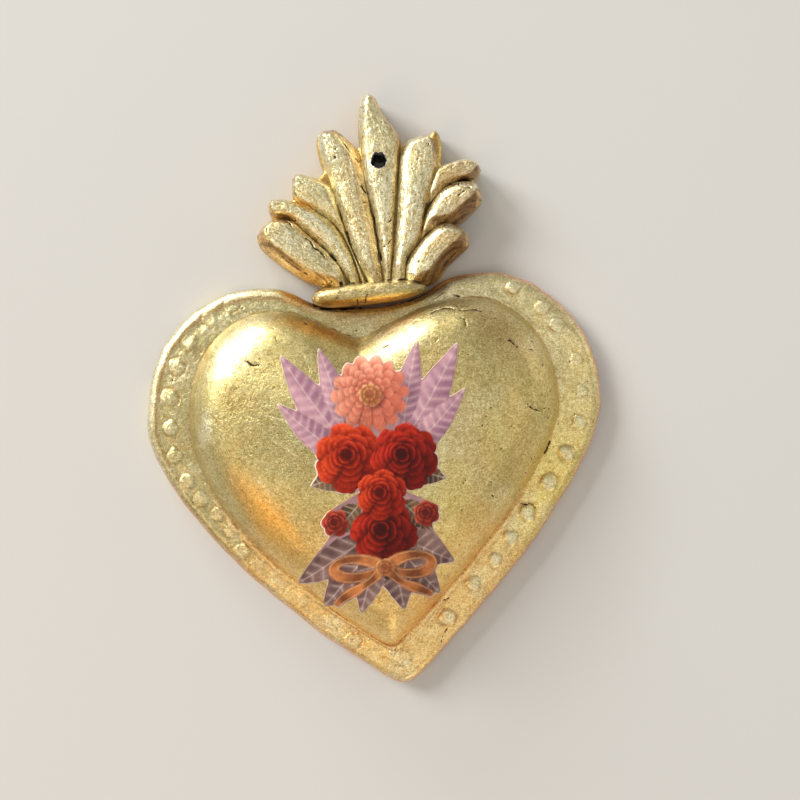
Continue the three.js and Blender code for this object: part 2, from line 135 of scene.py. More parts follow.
# Ovals of the sheet behind the tongues: middle, half width, half height and turn of the web
# between them, of its foot over the heart and of the lobe beside the tall right tongue
WEB_OVALS = [
    (CLEFT + (0.5, 19.0), 16.5, 19.0, 0.0),
    (CLEFT + (0.5, 0.0), 12.5, 9.0, 0.0),
    (CLEFT + (19.6, 36.9), 2.2, 6.4, -8.0),
]
WEB_VOXEL = 0.42

# Roll of clay across the foot of the flame
ROLL_ENDS = (CLEFT + (-13.9, 2.6), CLEFT + (15.5, 3.5))
ROLL_HALF = 2.95
ROLL_HEIGHT = 6.5

# Sizes of the random pits in the clay: half length and half width
PIT_LONG = (0.16, 0.55)
PIT_SLIM = (0.13, 0.24)

# Colours of the leaf and of what shows through it, as red, green and blue from 0 to 255
OLIVE = (204, 189, 130)
CHAMPAGNE = (240, 232, 194)
YELLOW = (252, 224, 130)
PEACH = (255, 212, 136)
ORANGE = (254, 192, 92)
DULL = (180, 173, 126)
BROWN = (176, 128, 70)
UMBER = (118, 80, 40)
CLAY_PINK = (238, 178, 144)
WORN_CLAY = (220, 146, 112)
SHADOW = (58, 36, 18)
RED_LINE = (196, 110, 72)


def linear(colour):
    """A colour from 0 to 255 as the light it stands for: c / 12.92 where it is nearly black, and
    ((c + 0.055) / 1.055) ** 2.4 elsewhere, with c from 0 to 1."""
    share = np.array(colour, float) / 255
    return np.where(share < 0.04045, share / 12.92, ((share + 0.055) / 1.055) ** 2.4)


def ease(value, low, high):
    """Nought below low, one above high, and s * s * (3 - 2 * s) in between."""
    share = np.clip((value - low) / (high - low), 0, 1)
    return share * share * (3 - 2 * share)


def bell(value, width):
    """One at nought, falling away on both sides as exp(-(v / width) ** 2)."""
    return np.exp(-(value / width) ** 2)


def mixed(under, colour, share):
    """Light values with a colour from 0 to 255 laid over them by a share from 0 to 1."""
    return under + (linear(colour) - under) * np.asarray(share)[..., None]


def layered(tone, *layers):
    """Light values with colours laid on in turn, each with its share."""
    for colour, share in layers:
        tone = mixed(tone, colour, share)
    return tone


def plain(x, colour):
    """One colour from 0 to 255 at every point, as light values."""
    return np.ones(np.shape(x) + (3,)) * linear(colour)


def knots(i, j, seed):
    """A fixed random number from -1 to 1 for each pair of whole numbers."""
    bits = (i * 374761393 + j * 668265263 + seed * 974634777) & 0xFFFFFFFF
    bits = ((bits ^ (bits >> 13)) * 1274126177) & 0xFFFFFFFF
    return (bits ^ (bits >> 16)) / 2147483647.5 - 1


def rumple(x, y, size, seed):
    """Smooth random waves from -1 to 1, size apart and the same for the same seed: the knots of
    a square net, blended by s * s * (3 - 2 * s)."""
    across, up = np.asarray(x) / size, np.asarray(y) / size
    i, j = np.floor(across).astype(np.int64), np.floor(up).astype(np.int64)
    s, t = across - i, up - j
    s, t = s * s * (3 - 2 * s), t * t * (3 - 2 * t)
    low = knots(i, j, seed) * (1 - s) + knots(i + 1, j, seed) * s
    high = knots(i, j + 1, seed) * (1 - s) + knots(i + 1, j + 1, seed) * s
    return low * (1 - t) + high * t


def waves(x, y, seed, *sizes):
    """Random waves of several sizes added up. Each has its height and its size, and the seed
    counts up by one from each to the next."""
    return sum(height * rumple(x, y, size, seed + step) for step, (height, size) in enumerate(sizes))


def bezier(points, count):
    """A Bezier curve by repeated blending of its control points."""
    along = np.linspace(0, 1, count)[:, None]
    rows = [np.array(point, float) * np.ones_like(along) for point in points]
    while len(rows) > 1:
        rows = [low * (1 - along) + high * along for low, high in zip(rows, rows[1:])]
    return rows[0]


def evenly(points, shares):
    """The points of a path at these shares of its length."""
    lengths = np.hypot(*np.diff(points, axis=0).T)
    run = np.concatenate([[0], np.cumsum(lengths)])
    place = np.asarray(shares) * run[-1]
    return np.stack([np.interp(place, run, points[:, axis]) for axis in (0, 1)], axis=-1)


def spline(points, count):
    """A smooth curve through points, evenly divided. Between b and c, with a before and d after,
    it is (2b + (c - a)t + (2a - 5b + 4c - d)t² + (3b - a - 3c + d)t³) / 2."""
    points = np.array(points, float)
    padded = np.concatenate([points[:1], points, points[-1:]])
    t = np.linspace(0, 1, 24, endpoint=False)[:, None]
    legs = []
    for a, b, c, d in zip(padded, padded[1:], padded[2:], padded[3:]):
        square, cube = 2 * a - 5 * b + 4 * c - d, 3 * b - a - 3 * c + d
        legs.append((2 * b + (c - a) * t + square * t ** 2 + cube * t ** 3) / 2)
    return evenly(np.concatenate(legs + [points[-1:]]), np.linspace(0, 1, count))


def distance(x, y, path):
    """Distance from each point to the nearest of a close row of points."""
    near = np.full(x.shape, np.inf)
    batch = 40
    for start in range(0, len(path), batch):
        part = path[start:start + batch]
        gap = np.hypot(x[..., None] - part[:, 0], y[..., None] - part[:, 1])
        near = np.minimum(near, gap.min(axis=-1))
    return near


def soften(ring, times):
    """A closed row of values, each blended with its neighbours again and again."""
    for _ in range(times):
        ring = (np.roll(ring, 1, axis=0) + 2 * ring + np.roll(ring, -1, axis=0)) / 4
    return ring


def outwards(ring):
    """Outward direction at each point of a closed anticlockwise outline."""
    step = np.roll(ring, -1, axis=0) - np.roll(ring, 1, axis=0)
    facing = np.stack([step[:, 1], -step[:, 0]], axis=1)
    return facing / np.hypot(*facing.T)[:, None]


# Clay and leaf


def cracks_at(x, y, cracks):
    """One on each crack and nought away from it. A crack is its half width and then the points of
    a broken line."""
    near = np.zeros(np.shape(x))
    for width, *points in cracks:
        for start, end in zip(points, points[1:]):
            start, run = np.array(start, float), np.subtract(end, start)
            share = np.clip(((x - start[0]) * run[0] + (y - start[1]) * run[1]) / (run @ run), 0, 1)
            away = np.hypot(x - start[0] - share * run[0], y - start[1] - share * run[1])
            away = away + 0.12 * rumple(x, y, 0.7, 91)
            near = np.maximum(near, ease(-away, -width * 1.8, -width * 0.5))
    return near


def pits_at(x, y, pits):
    """One in each pit and nought away from it. A pit is a small oval: its middle, half length,
    half width and turn."""
    near = np.zeros(np.shape(x))
    for px, py, long_half, short_half, turn in pits:
        close = (np.abs(x - px) < 2) & (np.abs(y - py) < 2)
        dx, dy = x[close] - px, y[close] - py
        along = (dx * math.cos(turn) + dy * math.sin(turn)) / long_half
        across = (dy * math.cos(turn) - dx * math.sin(turn)) / short_half
        near[close] = np.maximum(near[close], ease(-np.hypot(along, across), -1.35, -0.5))
    return near


def scatter(count, seed, low, high, often):
    """Random pits in a box. Often says how likely a pit is to stay at a place."""
    dice = np.random.default_rng(seed)
    pits = []
    for _ in range(count):
        place = dice.uniform(low, high)
        long_half = dice.uniform(*PIT_LONG)
        short_half = dice.uniform(*PIT_SLIM)
        turn = dice.uniform(0, math.pi)
        if dice.uniform() < often(*place):
            pits.append((*place, long_half, short_half, turn))
    return pits


def patch(x, y, at, half, turn, ragged=0.12):
    """A soft oval patch: one in its middle, nought outside."""
    angle = math.radians(turn)
    dx, dy = x - at[0], y - at[1]
    along = (dx * math.cos(angle) + dy * math.sin(angle)) / half[0]
    across = (dy * math.cos(angle) - dx * math.sin(angle)) / half[1]
    wave = ragged * waves(x, y, 40, (1, 3.2), (0.6, 1.3))
    return ease(-(np.hypot(along, across) + wave), -1.15, -0.1)


def patched(tone, x, y, patches):
    """Soft oval patches laid on in turn. Each is its colour, the share of it in its middle, and
    the middle, half lengths and turn of the oval."""
    for colour, share, at, half, turn in patches:
        tone = mixed(tone, colour, share * patch(x, y, at, half, turn))
    return tone


def clay_relief(x, y, seed):
    """The uneven skin of rolled clay."""
    return waves(x, y, seed, (0.16, 5.5), (0.07, 2.2), (0.03, 1))


def heart_tone_and_reflection(x, y):
    """Leaf colour over the heart, with painted reflections: olive at the upper left, yellow to the
    right and peach at the tip stand in for cool and warm light in the leaf, with paler and duller
    clouds of the leaf's own tone."""
    return layered(
        plain(x, OLIVE),
        (YELLOW, ease(0.62 * x - 0.78 * y, -10, 55)),
        (PEACH, ease(-y, 4, 34)),
        (CHAMPAGNE, 0.35 * ease(waves(x, y, 30, (1, 15), (0.5, 6)), 0.1, 0.9)),
        (BROWN, 0.2 * ease(waves(x, y, 32, (1, 11), (0.5, 4)), 0.2, 1.0)),
    )


# Meshes


def net(rows, columns, closed_rows=False):
    """The faces of a net of points whose rows are closed rings, as four numbers each."""
    last = rows if closed_rows else rows - 1
    row, column = np.meshgrid(np.arange(last), np.arange(columns), indexing="ij")
    after, side = (row + 1) % rows, (column + 1) % columns
    start, end = row * columns, after * columns
    return np.stack([start + column, start + side, end + side, end + column], axis=-1).reshape(-1, 4)


def fan(start, columns, middle):
    """The three-cornered faces between a ring and its middle point."""
    column = np.arange(columns)
    side = (column + 1) % columns
    return np.stack([start + column, start + side, np.full(columns, middle)], axis=1)


def lifted(line, height):
    """Points of a flat drawing with their heights over the table."""
    return np.concatenate([line, height[..., None]], axis=2)


def capped(grid, fields):
    """A row of rings closed at either end by a middle point, with its fields as flat lists."""
    rows, columns = grid.shape[:2]
    points = np.concatenate([grid.reshape(-1, 3), grid[:1].mean(axis=1), grid[-1:].mean(axis=1)])
    flat = {label: values.reshape(rows * columns, -1) for label, values in fields.items()}
    flat = {label: np.concatenate([values, values[[0, -1]]]) for label, values in flat.items()}
    ends = [fan(0, columns, len(points) - 2)[:, ::-1], fan((rows - 1) * columns, columns, len(points) - 1)]
    return points, net(rows, columns), np.concatenate(ends), flat


def volume(points, quads, tris):
    """Signed volume of a closed mesh, from the pyramids over its faces."""
    split = np.concatenate([quads[:, [0, 1, 2]], quads[:, [0, 2, 3]], tris])
    a, b, c = (points[split[:, corner]] for corner in range(3))
    return (a * np.cross(b, c)).sum() / 6


def linked(name, data):
    """A new object in the scene."""
    made = bpy.data.objects.new(name, data)
    bpy.context.scene.collection.objects.link(made)
    return made


def smoothed(mesh):
    """Shades every face of a mesh smoothly."""
    mesh.polygons.foreach_set("use_smooth", np.ones(len(mesh.polygons), bool))


def thing(name, points, quads, tris):
    """An object with a closed mesh that faces outwards."""
    tris = np.asarray(tris, int).reshape(-1, 3)
    if volume(points, quads, tris) < 0:
        quads, tris = quads[:, ::-1], tris[:, ::-1]
    mesh = bpy.data.meshes.new(name)
    mesh.vertices.add(len(points))
    mesh.vertices.foreach_set("co", (points * MM).astype(np.float32).ravel())
    mesh.loops.add(quads.size + tris.size)
    mesh.loops.foreach_set("vertex_index", np.concatenate([quads.ravel(), tris.ravel()]).astype(np.int32))
    mesh.polygons.add(len(quads) + len(tris))
    starts = np.concatenate([np.arange(len(quads)) * 4, quads.size + np.arange(len(tris)) * 3])
    mesh.polygons.foreach_set("loop_start", starts.astype(np.int32))
    mesh.update(calc_edges=True)
    mesh.validate()
    return linked(name, mesh)


def paint(made, fields):
    """Stores fields on a mesh's points: numbers, colours, or the lay of the leaf as a vector."""
    for label, values in fields.items():
        values = np.asarray(values, np.float32)
        values = values.reshape(len(values), -1)
        kind, key = "FLOAT", "value"
        if label == "lay":
            kind, key = "FLOAT_VECTOR", "vector"
        elif values.shape[1] == 3:
            kind, key = "FLOAT_COLOR", "color"
            values = np.concatenate([values, np.ones((len(values), 1), np.float32)], axis=1)
        made.data.attributes.new(label, kind, "POINT").data.foreach_set(key, values.ravel())


def place(made, material, node, slot="gilded_clay"):
    """Gives a piece its material and puts it on the body in the place of a solid."""
    smoothed(made.data)
    made.data.materials.clear()
    made.data.materials.append(material)
    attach(made, "root")
    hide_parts(node)
    return made


def skinned(name, grid, fields, material, *put):
    """A piece from a capped row of rings: made, painted and put in the place of a solid."""
    points, quads, tris, fields = capped(grid, fields)
    made = thing(name, points, quads, tris)
    paint(made, fields)
    return place(made, material, *put)


# Shader maths


class Strand:
    """One value on its way through a material. Sums written with it add their own nodes."""

    def __init__(self, recipe, socket):
        self.recipe = recipe
        self.socket = socket

    def sum(self, operation, first, second):
        """The result of one step of maths, as a new strand."""
        return self.recipe.add("ShaderNodeMath", {"operation": operation}, {0: first, 1: second})[0]

    def __add__(self, other):
        return self.sum("ADD", self, other)

    def __radd__(self, other):
        return self.sum("ADD", other, self)

    def __sub__(self, other):
        return self.sum("SUBTRACT", self, other)

    def __rsub__(self, other):
        return self.sum("SUBTRACT", other, self)

    def __mul__(self, other):
        return self.sum("MULTIPLY", self, other)

    def __abs__(self):
        return self.sum("ABSOLUTE", self, 0)


class Made:
    """A node's outputs, by name or by number."""

    def __init__(self, recipe, node):
        self.recipe = recipe
        self.node = node

    def __getitem__(self, key):
        return Strand(self.recipe, self.node.outputs[key])


class Recipe:
    """A material under construction."""

    def __init__(self, name):
        self.material = bpy.data.materials.new(name)
        self.material.use_nodes = True
        self.tree = self.material.node_tree
        self.tree.nodes.clear()

    def add(self, kind, settings, inputs):
        """Adds one node: its settings first, then a value or a link for each named socket."""
        node = self.tree.nodes.new(kind)
        for name, value in settings.items():
            setattr(node, name, value)
        for name, value in inputs.items():
            if isinstance(value, Strand):
                self.tree.links.new(value.socket, node.inputs[name])
            else:
                node.inputs[name].default_value = value
        return Made(self, node)

    def here(self):
        """The place on the object, in millimetres."""
        return self.stretched(self.add("ShaderNodeTexCoord", {}, {})["Object"], (1000, 1000, 1000))

    def field(self, name, output):
        """A field that is painted on the mesh."""
        return self.add("ShaderNodeAttribute", {"attribute_name": name}, {})[output]

    def noise(self, place, scale, detail, roughness=0.5, distortion=0.0):
        """Cloudy random values from 0 to 1."""
        return self.add("ShaderNodeTexNoise", {"noise_dimensions": "3D"}, {
            "Vector": place, "Scale": scale, "Detail": detail, "Roughness": roughness,
            "Distortion": distortion,
        })["Fac"]

    def stretched(self, place, factors):
        """A place or a colour times one factor for each of its three parts."""
        return self.add("ShaderNodeVectorMath", {"operation": "MULTIPLY"}, {0: place, 1: factors})["Vector"]

    def dimmed(self, colour, share):
        """A colour times a number."""
        return self.add("ShaderNodeVectorMath", {"operation": "SCALE"}, {0: colour, "Scale": share})["Vector"]

    def blend(self, share, under, over):
        """Two colours mixed by a share."""
        settings = {"data_type": "RGBA", "clamp_factor": True}
        return self.add("ShaderNodeMix", settings, {0: share, 6: under, 7: over})[2]

    def between(self, value, low, high):
        """Nought below low, one above high, smooth in between."""
        settings = {"interpolation_type": "SMOOTHSTEP", "clamp": True}
        return self.add("ShaderNodeMapRange", settings, {
            "Value": value, "From Min": low, "From Max": high,
        })["Result"]

    def bump(self, height):
        """A bump whose height is in millimetres."""
        return self.add("ShaderNodeBump", {}, {"Height": height, "Distance": MM})["Normal"]

    def finish(self, inputs):
        """The material, with these inputs of its surface."""
        shader = self.add("ShaderNodeBsdfPrincipled", {}, inputs)["BSDF"]
        self.add("ShaderNodeOutputMaterial", {}, {"Surface": shader})
        return self.material


def opaque(colour):
    """A colour from 0 to 255 as a shader takes it."""
    return (*linear(colour), 1)


def gold_leaf():
    """Pale gold leaf, crinkled and brushed, laid over red clay that shows where it is rubbed."""
    recipe = Recipe("gold_leaf")
    here = recipe.here()
    lay = recipe.field("lay", "Vector")
    tone = recipe.field("tone", "Color")
    rub = recipe.field("rub", "Fac")
    grime = recipe.field("grime", "Fac")
    crumple = recipe.field("crumple", "Fac")

    # Crinkles of the leaf: folded noise of two sizes, and small dents
    coarse = recipe.noise(here, 0.85, 3, 0.55, 1.3)
    fine = recipe.noise(here, 1.7, 2, 0.55, 1.6)
    worm = recipe.between(abs(coarse - 0.5), 0.1, 0.0)
    thread = recipe.between(abs(fine - 0.5), 0.11, 0.0)
    crinkle = worm * 0.6 + thread * 0.4
    dents = recipe.between(recipe.noise(here, 1.5, 1, 0.5, 0.9), 0.6, 0.72)

    # Fine lines left by the brush along each form, and threads of light across the leaf
    strokes = recipe.noise(recipe.stretched(lay, (0.14, 0.14, 2.0)), 1.0, 3, 0.65, 0.2)
    dabs = recipe.noise(recipe.stretched(lay, (0.8, 0.8, 2.2)), 1.0, 2, 0.6, 0.9) - 0.5
    weave = recipe.noise(recipe.stretched(here, (0.4, 1.1, 1.0)), 1.0, 2, 0.5, 1.6)
    cross = recipe.noise(recipe.stretched(here, (1.0, 0.45, 1.0)), 1.0, 2, 0.5, 1.6)
    threads = recipe.between(abs(weave - 0.5), 0.06, 0.0)
    threads = threads + recipe.between(abs(cross - 0.5), 0.05, 0.0) * 0.7

    # How light the leaf is at each place, from all of these, with small painted glints
    clouds = recipe.noise(here, 0.16, 3, 0.55, 0.6)
    patches = recipe.noise(here, 0.5, 3, 0.6, 0.8)
    glint = recipe.between(recipe.noise(here, 2.3, 1, 0.5, 1.0), 0.6, 0.72)
    shade = 0.35 + crinkle * 0.38 + strokes * 0.36 + clouds * 0.24 - dents * 0.16 + glint * 0.26
    shade = shade + (fine - 0.5) * (0.28 + crumple * 0.45) + dabs * crumple * crumple * 1.4
    shade = shade + threads * 0.3
    deep = recipe.stretched(tone, (1.0, 0.9, 0.6))
    pale = recipe.stretched(tone, (1.0, 1.05, 1.2))
    gold = recipe.dimmed(recipe.blend(recipe.between(shade, 0.6, 1.3), deep, pale), shade)

    # Red clay where the leaf is rubbed through, in specks that follow the crinkles
    worn = recipe.between(rub + (patches - 0.5) * 0.9 + (fine - 0.5) * 0.8, 0.42, 0.75)
    base = recipe.blend(worn * 0.75, gold, opaque(WORN_CLAY))
    # Dark flecks, and dark where the mesh carries dirt and painted shade
    speck = recipe.noise(recipe.stretched(here, (1.0, 0.7, 1.0)), 1.7, 1, 0.4, 0.5)
    flecks = recipe.between(speck + (clouds - 0.5) * 0.35, 0.78, 0.83)
    dirt_and_shade = recipe.between(grime + (fine - 0.5) * 0.6, 0.25, 0.7)
    dark = recipe.between(dirt_and_shade + flecks * 0.6, 0.0, 1.0)
    base = recipe.blend(dark, base, opaque(SHADOW))

    # Rubbed places are rougher and less metallic, and places darkened by dirt, flecks and painted shade are
    # rougher
    metal = (1 - worn * 0.6) * 0.9
    rough = 0.24 + crinkle * 0.05 + patches * 0.1 + worn * 0.15 + dark * 0.2
    height = crinkle * 0.022 + fine * 0.05 + strokes * 0.025 + patches * 0.04 - dents * 0.012 - dark * 0.04
    height = height + crumple * dabs * 0.14
    return recipe.finish({
        "Base Color": base, "Metallic": metal, "Roughness": rough, "Normal": recipe.bump(height),
        "Coat Weight": 0.5, "Coat Roughness": 0.22,
    })


def printed_paper():
    """Thin varnished print: its ink is a field of the mesh, with a fine paper grain."""
    recipe = Recipe("printed_paper")
    here = recipe.here()
    ink = recipe.field("ink", "Color")
    grain = recipe.noise(here, 2.2, 3, 0.6, 0.6)
    wave = recipe.noise(here, 0.35, 2, 0.5, 0.5)
    return recipe.finish({
        "Base Color": recipe.dimmed(ink, 0.8 + grain * 0.4),
        "Roughness": 0.5 + grain * 0.12, "Specular IOR Level": 0.2,
        "Normal": recipe.bump(grain * 0.014 + wave * 0.05),
    })


leaf = gold_leaf()
paper = printed_paper()


# Heart


def heart_side(shape, sign, tip_angle):
    """Three Bezier curves from the cleft over the lobe and the widest point to the turn of the
    tip, as a close row of points, with that turn and the corner that it rounds off."""
    angle, rise = math.radians(tip_angle), math.radians(shape["cleft_rise"])
    slope = np.array([sign * math.sin(angle), math.cos(angle)])
    start = np.array([shape["cleft_shift"], shape["cleft"]])
    climb = np.array([sign * math.cos(rise), math.sin(rise)]) * CLEFT_REACH * shape["spread"]
    crest = np.array([sign * shape["spread"], shape["top"]])
    flank = np.array([sign * shape["half"], shape["widest"]])
    tip = np.array([shape["tip_shift"], -shape["tip"]])
    turn = tip + slope * shape["round"]
    drop = flank[1] - turn[1]
    over_lobe = (crest[0] + CREST_HOLD * (flank[0] - crest[0]), crest[1])
    above_flank = (flank[0], flank[1] + FLANK_HOLD_UP * (crest[1] - flank[1]))
    below_flank = (flank[0], flank[1] - FLANK_HOLD_DOWN * drop)
    before_crest = (crest[0] * (1 - shape["crest_reach"]), crest[1])
    first = bezier([start, start + climb, before_crest, crest], CURVE_COUNT)
    second = bezier([crest, over_lobe, above_flank, flank], CURVE_COUNT)
    third = bezier([flank, below_flank, turn + slope * TIP_HOLD * drop, turn], 2 * CURVE_COUNT)
    return np.concatenate([first, second[1:], third[1:]]), turn, tip


def heart_ring(shape):
    """A closed heart outline, anticlockwise from the cleft: as many points on the left side as
    on the right, each side evenly divided from the cleft to the tip."""
    left, left_turn, tip = heart_side(shape, -1, LEFT_TIP_ANGLE)
    right, right_turn, _ = heart_side(shape, 1, RIGHT_TIP_ANGLE)
    rounding = bezier([left_turn, tip, right_turn], 2 * TIP_COUNT + 1)
    shares = np.arange(SIDE_COUNT) / SIDE_COUNT
    left = evenly(np.concatenate([left, rounding[1:TIP_COUNT + 1]]), shares)
    right = evenly(np.concatenate([right, rounding[-2:TIP_COUNT - 1:-1]]), shares + 1 / SIDE_COUNT)
    return np.concatenate([left, right[::-1]])


plate_ring = heart_ring(PLATE)
dome_ring = soften(heart_ring(DOME), 24)
dome_arm = dome_ring - PUFF_CENTRE
dome_facing = soften((dome_arm * outwards(dome_ring)).sum(axis=1), 160)
dome_angle = np.arctan2(dome_arm[:, 1], dome_arm[:, 0])
around = np.arange(2 * SIDE_COUNT) / (2 * SIDE_COUNT) * TURN


def by_angle(angle, values):
    """A value of the dome's outline by its angle round the centre of the puffed heart."""
    order = np.argsort(dome_angle)
    return np.interp(angle, dome_angle[order], values[order], period=TURN)


def dome_lift(x, y):
    """Height of the puffed heart above the sheet, and the depth in from its foot. The shoulder
    rises as a quarter of an ellipse over its width, the face swells by 1 - share squared towards
    the centre, and the clay is a little uneven."""
    dx, dy = x - PUFF_CENTRE[0], y - PUFF_CENTRE[1]
    angle = np.arctan2(dy, dx)
    share = np.clip(np.hypot(dx, dy) / by_angle(angle, np.hypot(*dome_arm.T)), 0, 1)
    depth = (1 - share) * by_angle(angle, dome_facing)
    outer = 1 - np.minimum(depth / SHOULDER_WIDTH, 1)
    lift = SHOULDER_RISE * np.sqrt(1 - outer ** 2) + FACE_SWELL * (1 - share ** 2)
    uneven = waves(x, y, 1, (0.24, 13), (0.1, 5), (0.035, 1.9))
    return lift + uneven * ease(depth, 0, 4), depth


def foot_stain(x, y, bottom, seed):
    """How much red clay shows along the dome's foot: more to the right and at the bottom."""
    side = 0.2 + 0.4 * ease(x, -10, 30) + 0.3 * bottom
    return np.clip(side + 0.5 * rumple(x, y, 3, seed), 0, 1)


def ring_lay(radius, depth):
    """The lay of the leaf on rings round the heart: round a circle, and in from the edge."""
    return np.stack([radius * np.cos(around) + 0 * depth, radius * np.sin(around) + 0 * depth, depth], axis=2)


# Flecks are thicker towards the right and the top of the dome
dome_pits = scatter(260, 5, (-46, -42), (46, 43), lambda x, y: 0.2 + 0.008 * x + 0.006 * y)
plate_pits = scatter(300, 8, (-58, -54), (58, 50), lambda x, y: 0.6)

# Cracks and scratches: half width, then the points of a broken line
DOME_CRACKS = [
    (0.16, (-30.2, 30.4), (-28.6, 29.2), (-27, 29.2)),
    (0.13, (37.2, 15.6), (38.6, 13.8), (40.6, 13), (42.4, 11.2), (43.4, 11)),
    (0.14, (16, 39.2), (17.3, 39.8), (20, 40.2), (21.9, 39.6)),
    (0.12, (23.2, 39.3), (24.5, 39.1), (26.5, 39.2), (28.4, 38.6)),
    (0.2, (22.8, 37.4), (23.9, 36.6), (24, 35.2)),
    (0.17, (34.3, 30.9), (35.4, 30), (36.2, 29)),
    (0.13, (39.4, 28.4), (40.5, 28)),
    (0.16, (31.3, 36.9), (31.9, 36.1)),
    (0.16, (27, 12.9), (27.5, 12.3)),
    (0.17, (27.4, -6.7), (27.9, -7.1)),
    (0.15, (18.2, 17), (19.4, 16)),
    (0.12, (3.4, 31.2), (4.6, 31.8), (5.2, 31.4)),
    (0.1, (27.5, 33.8), (28.6, 35.1), (28.9, 36.6)),
    (0.1, (-16.8, 40.2), (-15.6, 39), (-14.9, 38.6)),
]
PLATE_CRACKS = [
    (0.2, (43.8, 4.9), (43.2, 3.4), (42.3, 2)),
    (0.2, (35.3, -10.1), (36.4, -10.7), (37.8, -10.4), (39.2, -11.9)),
    (0.14, (45.4, 42.5), (47, 41.3), (47.9, 39.8)),
    (0.14, (22.2, 43.9), (23.7, 43.3)),
    (0.1, (14.4, -40.6), (13, -42.6), (12.6, -44.4), (11.2, -46)),
    (0.12, (14, -33.4), (15.2, -32.9)),
    (0.12, (2, -41.2), (2.9, -41.5)),
]
SCRATCHES = [
    (0.14, (-27, 17), (-22, 15.4), (-17, 13)),
    (0.12, (-32, 4), (-28.4, 0.2), (-25, -3)),
    (0.12, (-24.5, 10.4), (-18.6, 6.2)),
    (0.1, (26, -2), (31.5, -7.6)),
]

# Patches of colour on the leaf: colour, share, middle, half lengths and turn
PLATE_PATCHES = [
    (ORANGE, 0.7, (-17.5, 45.6), (7, 1.9), -28),
    (UMBER, 0.6, (-14.5, 44.6), (3.4, 1.4), -40),
    (ORANGE, 0.35, (30, -27), (14, 2.4), 47),
    (UMBER, 0.75, (18.6, 45.4), (5, 1.6), 24),
    (BROWN, 0.3, (0, 39.6), (17, 3.4), 0),
]
# On the dome the orange patch by the cleft is a painted reflection of the crown, and the three champagne
# patches are painted highlights
DOME_PATCHES_AND_REFLECTIONS = [
    (ORANGE, 0.6, (-11, 36.8), (10, 2.8), -20),
    (BROWN, 0.3, (33, 33), (16, 6.5), -48),
    (PEACH, 0.3, (36, 8), (17, 5), 98),
    (PEACH, 0.3, (14, 24), (12, 12), 0),
    (PEACH, 0.8, (20, -20), (20, 9), 50),
    (DULL, 0.8, (-20, 9), (18, 15), 0),
    (CHAMPAGNE, 0.8, (-41.8, 14.6), (5.5, 2.6), 78),
    (CHAMPAGNE, 0.8, (-33, 33), (10, 7), 50),
    (CHAMPAGNE, 0.8, (9, 33.5), (10, 6), 25),
]

# Beads of clay pressed along the border: middle, radius and height
BEADS = [
    (-34.5, 45.2, 1.9, 0.35), (-40.3, 42.3, 2.0, 0.5), (-45.8, 36.8, 2.1, 0.55),
    (-49.5, 30.6, 2.1, 0.6), (-51.8, 23.1, 2.2, 0.65), (-52.4, 15.2, 2.2, 0.7),
    (-51.6, 8.1, 2.2, 0.75), (-48.6, 1.6, 2.0, 0.6), (-45.5, -3.3, 2.0, 0.6),
    (-42, -7.6, 1.9, 0.6), (-38.7, -11.9, 2.0, 0.55), (-36.2, -17.1, 2.1, 0.6),
    (-32.6, -20.8, 1.8, 0.4), (-27.5, -26, 1.8, 0.3), (-22, -31, 1.8, 0.35),
    (-16, -36.4, 1.7, 0.3), (-10.1, -41.9, 2.2, 0.65), (2.9, -47.3, 2.4, 0.6),
    (14.6, -37.9, 2.3, 0.95), (21.7, -29.6, 2.1, 0.7), (27.5, -24.2, 1.9, 0.6),
    (32.1, -18.8, 1.9, 0.6), (36.7, -12.9, 2.3, 0.8), (42.9, -5.4, 2.2, 0.75),
    (47.9, 1.7, 2.1, 0.7), (51.6, 9.2, 1.9, 0.4), (52.6, 17, 1.9, 0.3),
    (51.8, 25, 1.9, 0.35), (47.9, 34.3, 1.9, 0.45), (44.2, 39.3, 1.9, 0.5),
    (37.5, 44.8, 1.9, 0.6),
]


def bead_lift(x, y):
    """Height of the beads, how near each point is to the shallow ring pressed round one, and
    where their tops lie, which are painted paler as highlights. A bead is height * (1 - r ** 4) ** 0.8 / 2
    on an uneven outline, tilted up to the lower right."""
    lift, ring, tops = np.zeros_like(x), np.zeros_like(x), np.zeros_like(x)
    for bx, by, radius, height in BEADS:
        turn = np.arctan2(y - by, x - bx)
        uneven = 1 + 0.18 * rumple(2 * np.cos(turn) + bx, 2 * np.sin(turn) + by, 1.4, 50)
        away = np.hypot(x - bx, y - by) / (radius * uneven)
        tilt = 1 + 0.12 * ((x - bx) - (y - by)) / radius
        lift += 0.5 * height * tilt * np.clip(1 - away ** 4, 0, 1) ** 0.8
        pressed = min(1, height / 0.5) * (1 if bx < 0 else 0.9)
        groove = bell(away - 1.1, 0.14) * pressed * ease(rumple(x, y, 2.1, 51), -0.5, 0.4)
        lift -= 0.14 * groove
        ring = np.maximum(ring, groove)
        tops = np.maximum(tops, ease(-away, -1, -0.6) * min(1, height / 0.6))
    return lift, ring, tops


